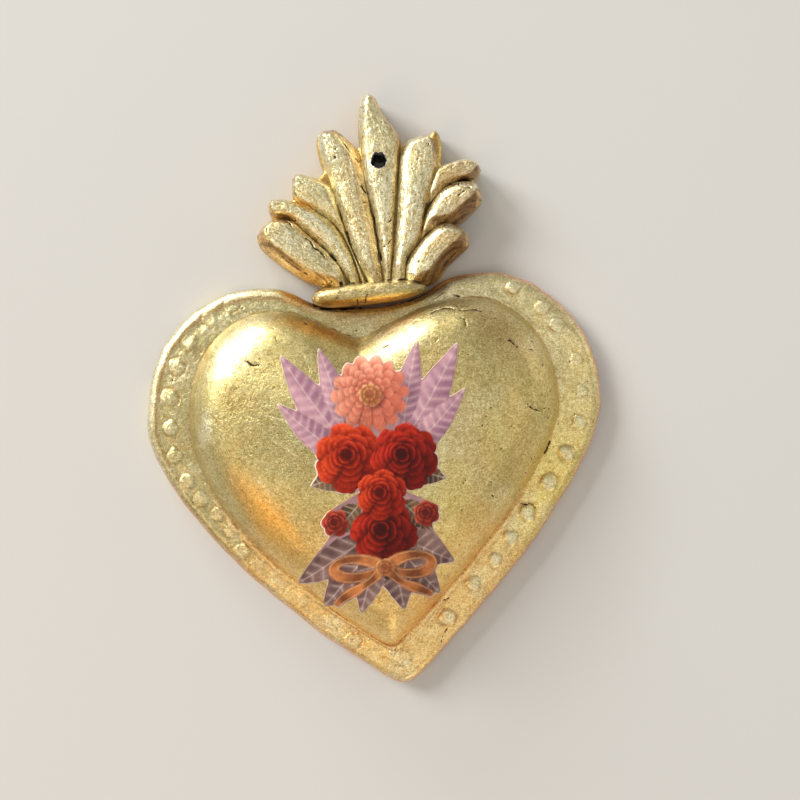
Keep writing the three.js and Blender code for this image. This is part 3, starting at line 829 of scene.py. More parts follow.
def plate_rows():
    """The plate's rows from the vent over the back, round the edge and over the border to the
    vent again: how far in from the rim each lies, its height, its share of the way to the dome's
    foot and then to the vent, and whether it is on the face."""
    rows = [(BACK_ROUND, 0, 0, share, 0) for share in (1, 0.97, 0.8, 0.5, 0.25, 0.1, 0.03)]
    for angle in np.linspace(0, math.pi / 2, 5):
        rows.append((BACK_ROUND * (1 - math.sin(angle)), BACK_ROUND * (1 - math.cos(angle)), 0, 0, 0))
    rows.append((0, (BACK_ROUND + SHEET - FRONT_ROUND) / 2, 0, 0, 0))
    for angle in np.linspace(0, math.pi / 2, 13):
        level = SHEET - FRONT_ROUND * (1 - math.sin(angle))
        rows.append((FRONT_ROUND * (1 - math.cos(angle)), level, 0, 0, 1))
    rows += [(FRONT_ROUND, SHEET, share, 0, 1) for share in np.linspace(0, 1, 44)[1:]]
    rows += [(FRONT_ROUND, SHEET - GAP, 1, share, 0) for share in (0.04, 0.3, 0.6, 0.9, 1)]
    return np.array(rows, float).T[:, :, None]


def heart_plate():
    """The clay sheet. Each row is the heart outline, drawn in by the rim's rounding, then taken
    straight towards the matching point of the dome's foot and on to the vent."""
    facing = outwards(plate_ring)
    wobble = waves(60 * np.cos(around), 60 * np.sin(around), 60, (0.28, 9), (0.14, 3.4))
    rim = plate_ring + facing * wobble[:, None]
    arm = rim - VENT_CENTRE
    vent = VENT_CENTRE + VENT_RADIUS * arm / np.hypot(*arm.T)[:, None]
    inward, level, to_foot, to_vent, face = plate_rows()
    line = rim - facing * inward[..., None]
    border = dome_ring - line
    wide = np.hypot(border[..., 0], border[..., 1])
    line = line + border * to_foot[..., None]
    line = line + (vent - line) * to_vent[..., None]
    x, y = line[..., 0], line[..., 1]
    inset = inward + wide * to_foot
    from_foot = wide * (1 - to_foot)

    top = np.abs(around - math.pi) > 2.5
    left = ease(-x - 0.4 * y, -20, 20)
    bottom = ease(-y, -4, 14)
    upper_left = ease(-0.6 * x + 0.8 * y, 22, 52)
    beads, ring, tops = bead_lift(x, y)
    beads = beads * (1.5 - 0.5 * left)
    pits = np.maximum(pits_at(x, y, plate_pits), cracks_at(x, y, PLATE_CRACKS)) * (inset > 1.6)
    uneven = 0.14 * rumple(x, y, 9, 62) + (0.09 + 0.02 * left) * rumple(x, y, 2.4, 63)
    uneven += 0.26 * (1 - 0.7 * left) * rumple(x, y, 4.6, 72)
    uneven += (0.04 + 0.02 * left) * rumple(x, y, 1.1, 64) + (0.01 + 0.015 * left) * rumple(x, y, 0.6, 65)
    wrinkles = bell(rumple(x, y, 3.4, 67), 0.07) * ease(rumple(x, y, 7, 68), -0.2, 0.4)
    dish = -0.25 * bell(inset - 4, 1.6) * left
    ragged = 0.6 + 0.4 * rumple(x, y, 5, 73)
    slip = 0.28 * bell(from_foot - 1, 0.5) * bottom * ragged
    seam = 0.06 * bell(from_foot, 0.3) + 0.1 * bottom * bell(from_foot - 1.9, 0.25) * ragged
    calm = ease(from_foot, 0.2, 1.6) * ease(inset, 0.6, 3.2)
    lift = (beads + uneven + dish + 0.07 * wrinkles) * calm + slip - seam - 0.22 * pits
    grid = lifted(line, level + lift * face)

    side = ease(SHEET - level, 1.4, 3) + 0 * x
    round_rim = rumple(50 * np.cos(around) + 0 * x, 50 * np.sin(around) + level * 2, 5, 82)
    foot_line = bell(from_foot, 0.32) * foot_stain(x, y, bottom, 66)
    # Painted light and shade: the upper left is duller and the upper right and right paler and yellower, the
    # tops of the border's waves are paler, the rim at the upper left is a painted highlight, the grooves
    # round the beads are painted brown as shade and the bead tops are painted pale as highlights.
    tone = layered(
        heart_tone_and_reflection(x, y),
        (DULL, 0.6 * ease(y - x, 8, 40)),
        (CHAMPAGNE, 0.1 + 0.3 * ease(rumple(x, y, 4.6, 72), 0, 0.7)),
        (YELLOW, 0.45 * ease(x, 26, 44) * ease(rumple(x, y, 6, 79), -0.8, 0.3)),
        (CHAMPAGNE, 0.3 * ease(x + y, 40, 70)),
        (CHAMPAGNE, 0.9 * upper_left * ease(-inset, -2.4, -1.6)),
        (BROWN, 0.6 * bell(inset - 2.7, 0.45) * (0.15 + 0.85 * upper_left)),
        (BROWN, 0.42 * ring),
        (CHAMPAGNE, tops * (0.65 - 0.4 * left)),
    )
    tone = layered(
        patched(tone, x, y, PLATE_PATCHES),
        (CLAY_PINK, 0.7 * ease(-inset, -1.3, -0.5) * (1 - upper_left)),
        (YELLOW, 0.7 * side * ease(round_rim, -0.4, 0.3)),
        (UMBER, 0.5 * side * ease(-round_rim, 0.1, 0.7)),
        (RED_LINE, 0.6 * foot_line),
        (RED_LINE, 0.3 * bottom * bell(from_foot - 1.9, 0.25)),
        (PEACH, 0.6 * bottom * bell(from_foot - 1, 0.5)),
    )
    rub = 0.55 * ease(-inset, -1.2, -0.3) * (1 - 0.9 * upper_left)
    rub += 0.3 * patch(x, y, (14, -33), (9, 2.2), 47)
    cleft_line = bell(from_foot, 0.4) * ease(y, 33, 36) * ease(-np.abs(x), -16, -8)
    # Painted shadow on the sheet under the roll
    near_roll = distance(x[:, top], y[:, top], roll_foot()) + 0.3 * rumple(x[:, top], y[:, top], 0.9, 69)
    shadow_under_roll = np.zeros_like(x)
    shadow_under_roll[:, top] = ease(-near_roll, -0.75, -0.2)
    cleft_line = cleft_line * ease(rumple(x, y, 1.1, 70), -0.2, 0.4)
    grime = np.maximum.reduce([0.2 * foot_line, 0.7 * pits, 0.6 * cleft_line, 0.95 * shadow_under_roll]) * face

    made = thing("heart_plate_clay", grid.reshape(-1, 3), net(*x.shape, closed_rows=True), [])
    paint(made, {
        "tone": tone.reshape(-1, 3), "rub": rub.ravel(), "grime": grime.ravel(),
        "lay": ring_lay(50, inset).reshape(-1, 3),
        "crumple": (0.08 + 0.4 * left * (1 - bottom)).ravel(),
    })
    return place(made, leaf, "heart_plate")


def heart_dome():
    """The hollow puffed heart: rings of its outline, from the middle of the inner skin down to
    the foot and up again over the outer skin, where they lie closer near the foot. The inner skin
    lies a wall's thickness inside and counts as far from the foot."""
    inner_ring = dome_ring - outwards(dome_ring) * SHELL_WALL
    far_in = 20
    rings, lifts, depths = [], [], []
    for share in (0.03, 0.3, 0.5, 0.68, 0.8, 0.9, 0.96, 1.0):
        rings.append(PUFF_CENTRE + (inner_ring - PUFF_CENTRE) * share)
        rise = math.sqrt(1 - max(0, 6 * share - 5) ** 2) * (SHOULDER_RISE - SHELL_WALL)
        lifts.append(rise + FACE_SWELL * (1 - share ** 2) + 0 * around)
        depths.append(far_in + 0 * around)
    inner = len(rings)
    for share in 1 - 0.995 * np.linspace(0, 1, 101)[:-1] ** 1.35:
        rings.append(PUFF_CENTRE + dome_arm * share)
        lift, depth = dome_lift(*rings[-1].T)
        lifts.append(lift)
        depths.append(depth)
    for foot in (inner - 1, inner):
        lifts[foot] = lifts[foot] - GAP / 2
    line, depth = np.array(rings), np.array(depths)
    x, y = line[..., 0], line[..., 1]
    wear = np.maximum(cracks_at(x, y, DOME_CRACKS), pits_at(x, y, dome_pits))
    wear[:inner] = 0
    scratch = cracks_at(x, y, SCRATCHES)
    lift = np.array(lifts) + (0.03 * scratch - 0.2 * wear) * ease(depth, 0, 1)
    grid = lifted(line, SHEET + lift)

    streak = 0.5 + 0.5 * rumple(x * 0.86 + y * 0.5, (y * 0.86 - x * 0.5) * 0.12, 0.8, 70)
    # Painted reflection of warm light: an orange glow on the lower left of the face, streaked
    painted_glow = patch(x, y, (-28, -8.5), (18, 6), -58, 0.06)
    bottom = ease(-y, -6, 12)
    band = patch(x, y, (9, -34), (10, 2.8), 50)
    foot_line = ease(-depth, -0.5, -0.05) * foot_stain(x, y, bottom, 71)
    tone = mixed(heart_tone_and_reflection(x, y), ORANGE, painted_glow * (0.7 + 0.3 * streak))
    tone = layered(
        patched(tone, x, y, DOME_PATCHES_AND_REFLECTIONS),
        (ORANGE, 0.7 * band),
        (RED_LINE, 0.6 * band * ease(rumple(x, y, 2.2, 74), -0.5, 0.6)),
        (CHAMPAGNE, 0.6 * scratch),
        (RED_LINE, 0.7 * foot_line),
    )
    rub = 0.45 * band + 0.1 * painted_glow + 0.3 * bottom * ease(-depth, -1.4, -0.2)
    grime = np.maximum(0.2 * foot_line, 0.75 * wear)
    return skinned("heart_dome_clay", grid, {
        "tone": tone, "rub": rub, "grime": grime, "lay": ring_lay(42, depth), "crumple": 0.35 + 0 * x,
    }, leaf, "heart_dome")


# Crown of flames


class Tongue:
    """A tongue of flame between its two edges, which meet at the tip."""

    def __init__(self, shape, seed):
        self.name, self.tall, self.show, self.warm = (shape[key] for key in ("name", "tall", "show", "warm"))
        self.seed = seed
        self.edges = []
        for width, free, points in (shape["left"], shape["right"]):
            self.edges.append((width, free, CLEFT + spline(points, 320)))
        self.length = np.hypot(*np.diff(self.edges[0][2], axis=0).T).sum()

    def ends(self, stations):
        """Left and right end of the section at these shares of the length."""
        return [evenly(path, stations) for _, _, path in self.edges]

    def slopes(self, x, y):
        """How far down the shoulder of each edge a point lies: nought on top, one at the edge."""
        return [1 - np.clip(distance(x, y, path) / width, 0, 1) for width, _, path in self.edges]

    def lift(self, along, slopes):
        """Height over the sheet. Each edge stands up by a part of the full height, less where it
        is free. A shoulder 1 - slope ** power rises from it, the right one cut more sharply."""
        shoulder = 1.0
        for (_, free, _), slope, power in zip(self.edges, slopes, (2.0, 1.6)):
            stand = 0.9 - 0.14 * ease(along * self.length, 2, 11)
            stand = stand - 0.4 * ease(along, free - 0.08, free + 0.08)
            shoulder = shoulder * (stand + (1 - stand) * (1 - slope ** power))
        root = 0.7 + 0.3 * ease(along, 0, 0.12)
        return self.tall * root * shoulder * (1 - 0.12 * along ** 3)


CROWN_CRACKS = [
    (0.16, (2.7, 66), (3.5, 64.2), (3.4, 61.2), (4, 58.6), (3.9, 56.5), (4.4, 54.9), (4.6, 53)),
    (0.2, (-13.9, 60.2), (-12.7, 59.2), (-12.1, 57.6), (-10.6, 56.7), (-9.5, 55)),
    (0.2, (0.9, 72.2), (1.3, 71.4), (1.9, 70.6)),
    (0.12, (-2.9, 83.5), (-1.2, 80.8), (-0.1, 79.5), (0.8, 78)),
    (0.08, (8.1, 63.7), (6.7, 62.2)),
    (0.08, (7.4, 58.4), (6.4, 57.2), (5.3, 56.4)),
    (0.12, (-5.3, 80), (-4.7, 79.1)),
    (0.13, (23, 71.2), (23.9, 71.1), (25.5, 71.3)),
    (0.14, (24.9, 68), (26.4, 69)),
    (0.1, (-18.5, 65.1), (-17.6, 64.3), (-17.1, 63.1)),
    (0.07, (-20.4, 56.3), (-17.5, 53.6), (-14.2, 51.1)),
    (0.07, (18.4, 49.6), (20.5, 51.8), (23.4, 54.2)),
    (0.2, (-8.4, 56), (-7.4, 54.6), (-6.9, 54.2)),
    (0.14, (-3.6, 61.4), (-3.3, 60.2), (-3, 57.8)),
]
CROWN_PATCHES = [
    (CHAMPAGNE, 0.6, (-1.5, 84), (4.5, 8), 0),
    (BROWN, 0.35, (16.5, 56.5), (6, 4), 40),
]
crown_pits = scatter(150, 12, (-26, 48), (31, 94), lambda x, y: 0.5)


def towards_tip(count, last):
    """Shares of a tongue's length, closer together towards its tip."""
    return np.minimum(1 - (1 - np.linspace(0, 1, count)) ** 1.5, last)


def flame_tongue(tongue):
    """A closed skin over a tongue: at each station its top from edge to edge, a wall down to the
    sheet on either side and a flat underside."""
    stations = towards_tip(190, 0.9997)
    columns = (1 - np.cos(np.linspace(0, math.pi, 57))) / 2
    across = np.concatenate([columns, [1, 1, 1], columns[::-1], [0, 0]])
    level = np.concatenate([1 + 0 * columns, [0.8, 0.4, 0], 0 * columns, [0.4, 0.8]])
    left, right = tongue.ends(stations)
    line = left[:, None] + (right - left)[:, None] * across[:, None]
    x, y = line[..., 0], line[..., 1]
    along = stations[:, None] + 0 * x
    wide = np.hypot(*(right - left).T)[:, None]
    over = (across - 0.5) * wide
    streaks = rumple(over * 1.5 + 50, along * tongue.length * 0.16, 1, tongue.seed + 7)
    grooves = rumple(over * 3.4 + 80, along * tongue.length * 0.22, 1, tongue.seed + 8)
    skin = clay_relief(x, y, tongue.seed) + 0.04 * streaks + 0.03 * grooves
    skin += 0.035 * rumple(x, y, 0.6, tongue.seed + 9)
    cracks = cracks_at(x, y, CROWN_CRACKS)
    pits = pits_at(x, y, crown_pits)
    top = skin * np.clip(wide / 4, 0, 1) - 0.3 * cracks - 0.22 * pits
    slopes = tongue.slopes(x, y)
    swell = 1 - 0.16 * (2 * across - 1) ** 2
    lift = (tongue.lift(along, slopes) * swell + top * (level == 1)) * level
    grid = lifted(line, SHEET + lift)

    # Painted light and shade by the way each shoulder faces: one that faces up and left is painted
    # pale as a highlight, one that faces down is painted orange with brown streaks as a warm
    # reflection and shade, and one that faces down and right is painted brown as shade
    heading = np.gradient((left + right) / 2, axis=0)
    heading = (heading / np.hypot(*heading.T)[:, None])[:, None]
    facing = 0.5 * heading[..., 1] + 0.87 * heading[..., 0]
    on_left, on_right = ease(slopes[0], 0.02, 0.25), ease(slopes[1], 0.02, 0.25)
    painted_lit = on_left * ease(facing, 0.15, 0.5) * (slopes[0] > slopes[1])
    free = [0.35 + 0.65 * ease(along, end - 0.1, end + 0.05) for _, end, _ in tongue.edges]
    left_shaded = on_left * free[0] * ease(-facing, 0.02, 0.25)
    right_shaded = on_right * free[1] * ease(facing, 0.1, 0.3)
    painted_shade = np.maximum(left_shaded, right_shaded)
    deep = on_right * free[1] * ease(facing, 0.6, 0.9)
    wall = ease(-level, -0.9, -0.4)
    tone = layered(
        plain(x, OLIVE),
        (CHAMPAGNE, 0.75 + 0.25 * rumple(x, y, 6, tongue.seed + 5)),
        (PEACH, 0.7 * tongue.warm * ease(rumple(x, y, 6, tongue.seed + 6), -0.5, 0.6)),
        (BROWN, 0.35 * ease(x, 16, 27)),
    )
    tone = layered(
        patched(tone, x, y, CROWN_PATCHES),
        (CHAMPAGNE, 0.8 * painted_lit),
        (ORANGE, 0.55 * painted_shade),
        (UMBER, painted_shade * (0.1 + 0.6 * ease(streaks, 0, 0.6))),
        (UMBER, deep * (0.75 + 0.2 * streaks)),
        (BROWN, 0.6 * wall),
        (UMBER, 0.5 * wall * ease(x, 12, 24)),
    )
    rub = 0.1 * painted_shade + 0.2 * wall
    joined = np.zeros_like(x)
    for _, free, path in tongue.edges:
        near = ease(-distance(x, y, path) - 0.1 * rumple(x, y, 0.8, 76), -0.26, -0.04)
        joined = np.maximum(joined, near * ease(free - along, -0.05, 0.1))
    broken = ease(rumple(x, y, 2.4, 77), -0.1, 0.5)
    near_roll = ease(-along * tongue.length, -1.8, -0.9) * ease(rumple(x, y, 1.5, 78), -0.1, 0.5)
    lines = deep * ease(grooves, 0.25, 0.6)
    grime = np.maximum.reduce([
        0.85 * cracks, 0.75 * pits, 0.5 * joined * broken, 0.7 * near_roll, 0.5 * lines,
    ])
    lay = np.stack([along * tongue.length, 0 * x, over + tongue.seed], axis=2)

    return skinned("tongue_" + tongue.name + "_clay", grid, {
        "tone": tone, "rub": rub, "grime": grime, "lay": lay, "crumple": 1 + 0 * x,
    }, leaf, "tongue_" + tongue.name)


def hole_cutter():
    """A ragged upright oval, from below the sheet to above the crown: its radius changes by up to
    a fifth round the edge."""
    step = np.arange(HOLE_COUNT) / HOLE_COUNT * TURN
    x, y = np.cos(step), np.sin(step)
    ragged = 1 + 0.14 * rumple(4 * x, 4 * y, 1.3, 80) + 0.08 * rumple(9 * x, 9 * y, 1.1, 81)
    line = HOLE_CENTRE + np.stack([x * HOLE_HALF[0], y * HOLE_HALF[1]], axis=1) * ragged[:, None]
    grid = np.stack([np.column_stack([line, np.full(HOLE_COUNT, level)]) for level in (-2.0, 20.0)])
    points, quads, tris, _ = capped(grid, {})
    return thing("hole_cutter", points, quads, tris)


def bake(made):
    """Turns a piece's modifiers into its mesh."""
    bpy.context.view_layer.update()
    finished = made.evaluated_get(bpy.context.evaluated_depsgraph_get())
    mesh = bpy.data.meshes.new_from_object(finished)
    made.modifiers.clear()
    made.data = mesh
    smoothed(mesh)
    mesh.set_sharp_from_angle(angle=math.radians(50))


def cut_hole(made, cutter):
    """Cuts the hanging hole through a piece."""
    tool = made.modifiers.new("hole", "BOOLEAN")
    tool.operation = "DIFFERENCE"
    tool.solver = "EXACT"
    tool.object = cutter
    bake(made)


def vectors_of(made, key):
    """A vector for each point of a piece: co is its place, in metres, and normal its facing."""
    flat = np.zeros(len(made.data.vertices) * 3)
    made.data.vertices.foreach_get(key, flat)
    return flat.reshape(-1, 3)


def in_hole(x, y):
    """One inside the hanging hole and nought outside."""
    away = np.hypot((x - HOLE_CENTRE[0]) / HOLE_HALF[0], (y - HOLE_CENTRE[1]) / HOLE_HALF[1])
    return ease(-away, -1.3, -1.12)


def shade_hole(made):
    """Paints shade on the walls of the hole in a piece that is painted already."""
    x, y, z = vectors_of(made, "co").T / MM
    grime = made.data.attributes["grime"].data
    values = np.zeros(len(x), np.float32)
    grime.foreach_get("value", values)
    wall = in_hole(x, y) * ease(-z, -SHEET - 5.6, -SHEET - 4.8)
    grime.foreach_set("value", np.maximum(values, wall).astype(np.float32))


def slab(left, right, grow):
    """A flat strip of the sheet between two edges, moved apart by grow on each side, with its
    four corners rounded."""
    run = right - left
    wide = np.hypot(*run.T)[:, None]
    side = run / wide
    half = wide / 2 + grow
    up_corner = np.linspace(0, math.pi / 2, 4)
    down_corner = up_corner[::-1]
    top = SHEET - 0.05
    corners = ((1, True, up_corner), (-1, True, down_corner), (-1, False, up_corner), (1, False, down_corner))
    across, up = [], []
    for sign, upper, angles in corners:
        across.append(sign * (half - np.minimum(BACK_ROUND, half) * (1 - np.cos(angles))))
        rise = BACK_ROUND * (1 - np.sin(angles))
        up.append(top - rise if upper else rise)
    across, up = np.concatenate(across, axis=1), np.concatenate(up)
    line = ((left + right) / 2)[:, None] + side[:, None] * across[..., None]
    return capped(lifted(line, up + 0 * across), {})[:3]


def oval_slab(centre, half_width, half_height, turn):
    """A flat oval of the sheet, as a strip along its height."""
    angle = math.radians(turn)
    rise = -np.cos(np.linspace(0.03, math.pi - 0.03, 60))
    wide = half_width * np.sqrt(1 - rise ** 2)
    spine = centre + np.stack([-math.sin(angle) * rise, math.cos(angle) * rise], axis=1) * half_height
    side = np.array([math.cos(angle), math.sin(angle)]) * wide[:, None]
    return slab(spine - side, spine + side, 0.0)


def flame_plate(tongues, cutter):
    """The sheet behind the tongues: a strip under each, an oval web between them, a foot that
    follows the heart and a lobe beside the tall right tongue, joined into one skin."""
    parts = [oval_slab(*oval) for oval in WEB_OVALS]
    parts += [slab(*tongue.ends(towards_tip(110, 0.999)), tongue.show) for tongue in tongues]
    starts = np.cumsum([0] + [len(points) for points, _, _ in parts])
    points = np.concatenate([points for points, _, _ in parts])
    quads = np.concatenate([quads + start for (_, quads, _), start in zip(parts, starts)])
    tris = np.concatenate([tris + start for (_, _, tris), start in zip(parts, starts)])
    top = plate_ring[(plate_ring[:, 1] > 30) & (np.abs(plate_ring[:, 0]) < 25)]
    top = top[np.argsort(top[:, 0])]
    points[:, 1] = np.maximum(points[:, 1], np.interp(points[:, 0], *top.T) + GAP + 0.1)
    made = thing("flame_plate_clay", points, quads, tris)
    skin = made.modifiers.new("skin", "REMESH")
    skin.mode = "VOXEL"
    skin.voxel_size = WEB_VOXEL * MM
    smooth = made.modifiers.new("smooth", "SMOOTH")
    smooth.factor = 0.5
    smooth.iterations = 5
    bake(made)
    cut_hole(made, cutter)

    spot = vectors_of(made, "co") / MM
    facing = vectors_of(made, "normal")
    x, y, z = spot.T
    uneven = 0.12 * rumple(x + z, y - z, 4, 85) + 0.05 * rumple(x - z, y + z, 1.5, 86)
    spot = spot + facing * (uneven * ease(-np.abs(facing[:, 2]), -0.85, -0.3))[:, None]
    spot[:, 2] = np.clip(spot[:, 2], 0, SHEET - 0.03)
    made.data.vertices.foreach_set("co", (spot * MM).ravel())
    tone = layered(
        plain(x, YELLOW),
        (BROWN, 0.5 + 0.3 * rumple(x, y, 5, 87)),
        (UMBER, 0.6 * ease(x, 14, 26) * ease(-y, -72, -60)),
    )
    # Round the hole the sheet is painted dark as shade, and its top face is darker
    paint(made, {
        "tone": tone, "rub": 0.2 + 0.3 * rumple(x, y, 3, 88),
        "grime": np.maximum(in_hole(x, y), 0.4 * ease(z, 4.8, 5.9)), "lay": spot,
    })
    return place(made, leaf, "flame_plate")


def roll_stations():
    """The roll's middle line, its half width at each station and the way across it. The half
    width is the root of 1 - out ** power, with a blunt left end and a tapered right one."""
    stations = (1 - 0.9999 * np.cos(np.linspace(0, math.pi, 190))) / 2
    out = np.abs(2 * stations - 1)
    run = ROLL_ENDS[1] - ROLL_ENDS[0]
    spine = ROLL_ENDS[0] + stations[:, None] * run
    half = ROLL_HALF * np.sqrt(1 - out ** np.where(stations < 0.5, 5, 2.6))[:, None]
    return stations, spine, half, np.array([-run[1], run[0]]) / np.hypot(*run)


def roll_foot():
    """The outline of the roll on the sheet, as a close row of points."""
    _, spine, half, side = roll_stations()
    return np.concatenate([spine + side * half, (spine - side * half)[::-1]])


ROLL_CRACKS = [
    (0.11, (-2.9, 42.5), (-2.1, 43.2), (-2.3, 43.9)),
    (0.08, (-0.9, 42.7), (-0.2, 43.5), (0.1, 44.7), (0.6, 45.2)),
]


def crown_roll():
    """The roll across the foot of the flame: half an ellipse in section."""
    stations, spine, half, side = roll_stations()
    out = np.abs(2 * stations - 1)
    height = (ROLL_HEIGHT * np.sqrt(1 - 0.75 * out ** 4) * (1 - out ** 14) ** 0.3)[:, None]
    angle = np.linspace(0, math.pi, 44)
    flat = np.linspace(-1, 1, 12)[1:-1]
    across = np.concatenate([np.cos(angle), flat]) * half
    up = np.concatenate([np.sin(angle) ** 0.8, 0 * flat]) * height
    line = spine[:, None] + side * across[..., None]
    x, y = line[..., 0], line[..., 1]
    cracks = cracks_at(x, y, ROLL_CRACKS)
    raised = ease(up, 0.5, 2.5)
    lift = up + (0.9 * clay_relief(x, y, 95) - 0.3 * cracks) * raised
    grid = lifted(line, SHEET + lift)
    # Painted light and shade: the lower side is painted orange with umber streaks as a warm reflection, and
    # the foot is painted dark as shadow where it meets the sheet
    band = ease(-across, 1.1, 2.2) * (up > 0)
    foot = ease(-up, -0.9, -0.1)
    tone = layered(
        plain(x, CHAMPAGNE),
        (OLIVE, 0.8 + 0.2 * rumple(x, y, 5, 96)),
        (BROWN, 0.12),
        (ORANGE, 0.9 * band),
        (UMBER, 0.6 * band * ease(rumple(x * 0.3, y * 1.5, 1, 97), 0, 0.6)),
    )
    grime = np.maximum(0.9 * cracks * raised, 0.85 * foot)
    lay = np.stack([stations[:, None] * 30 + 0 * x, 0 * x, across], axis=2)
    return skinned("crown_roll_clay", grid, {
        "tone": tone, "rub": 0.2 * band + 0.3 * foot, "grime": grime, "lay": lay, "crumple": 1 - 0.6 * band,
    }, leaf, "crown_roll")


# Printed flower spray

# Colours under and round the ink, and of its fine lines
GROUND = (170, 132, 132)
WASH = (186, 146, 146)
DARK_WASH = (146, 110, 114)
PALE_LINE = (240, 222, 198)
PAPER_BACK = (236, 220, 200)
VEIN = (232, 208, 200)
HEM = (250, 200, 150)

# Inks of the motifs: pale and deep, or outer, inner and dark
LILAC = ((216, 170, 178), (148, 104, 124))
MAUVE = ((160, 126, 118), (96, 70, 68))
MOSS = ((150, 120, 84), (80, 62, 48))
BRONZE = ((208, 128, 72), (104, 52, 30))
CORAL = ((246, 178, 148), (226, 132, 102), (168, 78, 62))
BUFF = ((252, 216, 160), (226, 150, 84), (140, 72, 44))
SCARLET = ((250, 92, 44), (196, 34, 14), (58, 6, 4))
CRIMSON = ((224, 58, 32), (146, 18, 10), (40, 4, 4))
SALMON = ((236, 118, 82), (186, 56, 38), (84, 22, 18))

# Leaves: stalk, tip, half width and bend
LILAC_LEAVES = [
    ((-5, 6), (-22, 32), 4.6, 0.1),
    ((-6, 4), (-23.5, 20), 3.6, 0.08),
    ((-7, 12), (-12.5, 33), 3.2, -0.05),
    ((5, 6), (22, 32), 4.6, -0.1),
    ((6, 4), (23, 20.5), 3.6, -0.08),
    ((7, 12), (12, 33), 3.2, 0.05),
]
MAUVE_LEAVES = [
    ((-3, -14), (-23, -26), 4.4, 0),
    ((-2, -16), (-17, -33), 4.6, 0),
    ((2, -16), (4, -33.5), 4.6, 0),
    ((3, -14), (17.5, -22.5), 4.8, 0),
    ((2, -15), (13.5, -31), 4.4, 0),
    ((-1, -16), (-7, -34), 4.0, 0),
]
MOSS_LEAVES = [
    ((-6, 2), (-16.5, -1), 3.6, 0),
    ((7, 2), (16.5, -1.5), 3.4, 0),
    ((-5, -6), (-12.5, -14), 3.2, 0),
    ((5, -6), (12.5, -14), 3.2, 0),
]

# Blossoms: middle, radius, rings, petals of the outermost ring, inks, turn and frill
BLOSSOMS = [
    ((-0.5, 20.2), 9.6, 5, 14, CORAL, 0.0, 0.12),
    ((-0.5, 20.0), 3.0, 2, 9, BUFF, 0.0, 0.1),
    ((0.4, -13.5), 8.4, 5, 6, CRIMSON, 0.7, 0.1),
    ((-6.4, 5.2), 8.8, 6, 7, SCARLET, 0.0, 0.1),
    ((6.8, 4.4), 8.4, 6, 7, CRIMSON, 1.3, 0.1),
    ((0.6, -4.2), 6.4, 5, 6, SCARLET, 2.1, 0.1),
    ((-11.2, -10.4), 3.6, 3, 6, SALMON, 0.4, 0.1),
    ((11.0, -9.6), 3.4, 3, 6, SALMON, 1.4, 0.1),
]
BOW_KNOT = ((0, -22), 2.4, 2, 5, BUFF, 0.0, 0.1)

# Ribbons of the bow: width, then the control points of a curve
RIBBONS = [
    (3.4, (-1, -21.5), (-9, -16.5), (-19, -21), (-12, -27.5), (-1, -22.5)),
    (3.4, (1, -21.5), (8, -16.5), (17.5, -20.5), (11, -27.5), (1, -22.5)),
    (3.0, (-0.5, -22), (-4, -27), (-9, -27), (-12.5, -31)),
    (3.0, (0.5, -22), (3, -27), (7, -27), (10.5, -30)),
]

# The print: its middle, the pale margin round the ink, and points round it, over it and under it
PRINT_MIDDLE = np.array([0.0, -1.0])
PRINT_MARGIN = 0.42
PRINT_COLUMNS = 720
PRINT_ROWS = 112
UNDER_ROWS = 34


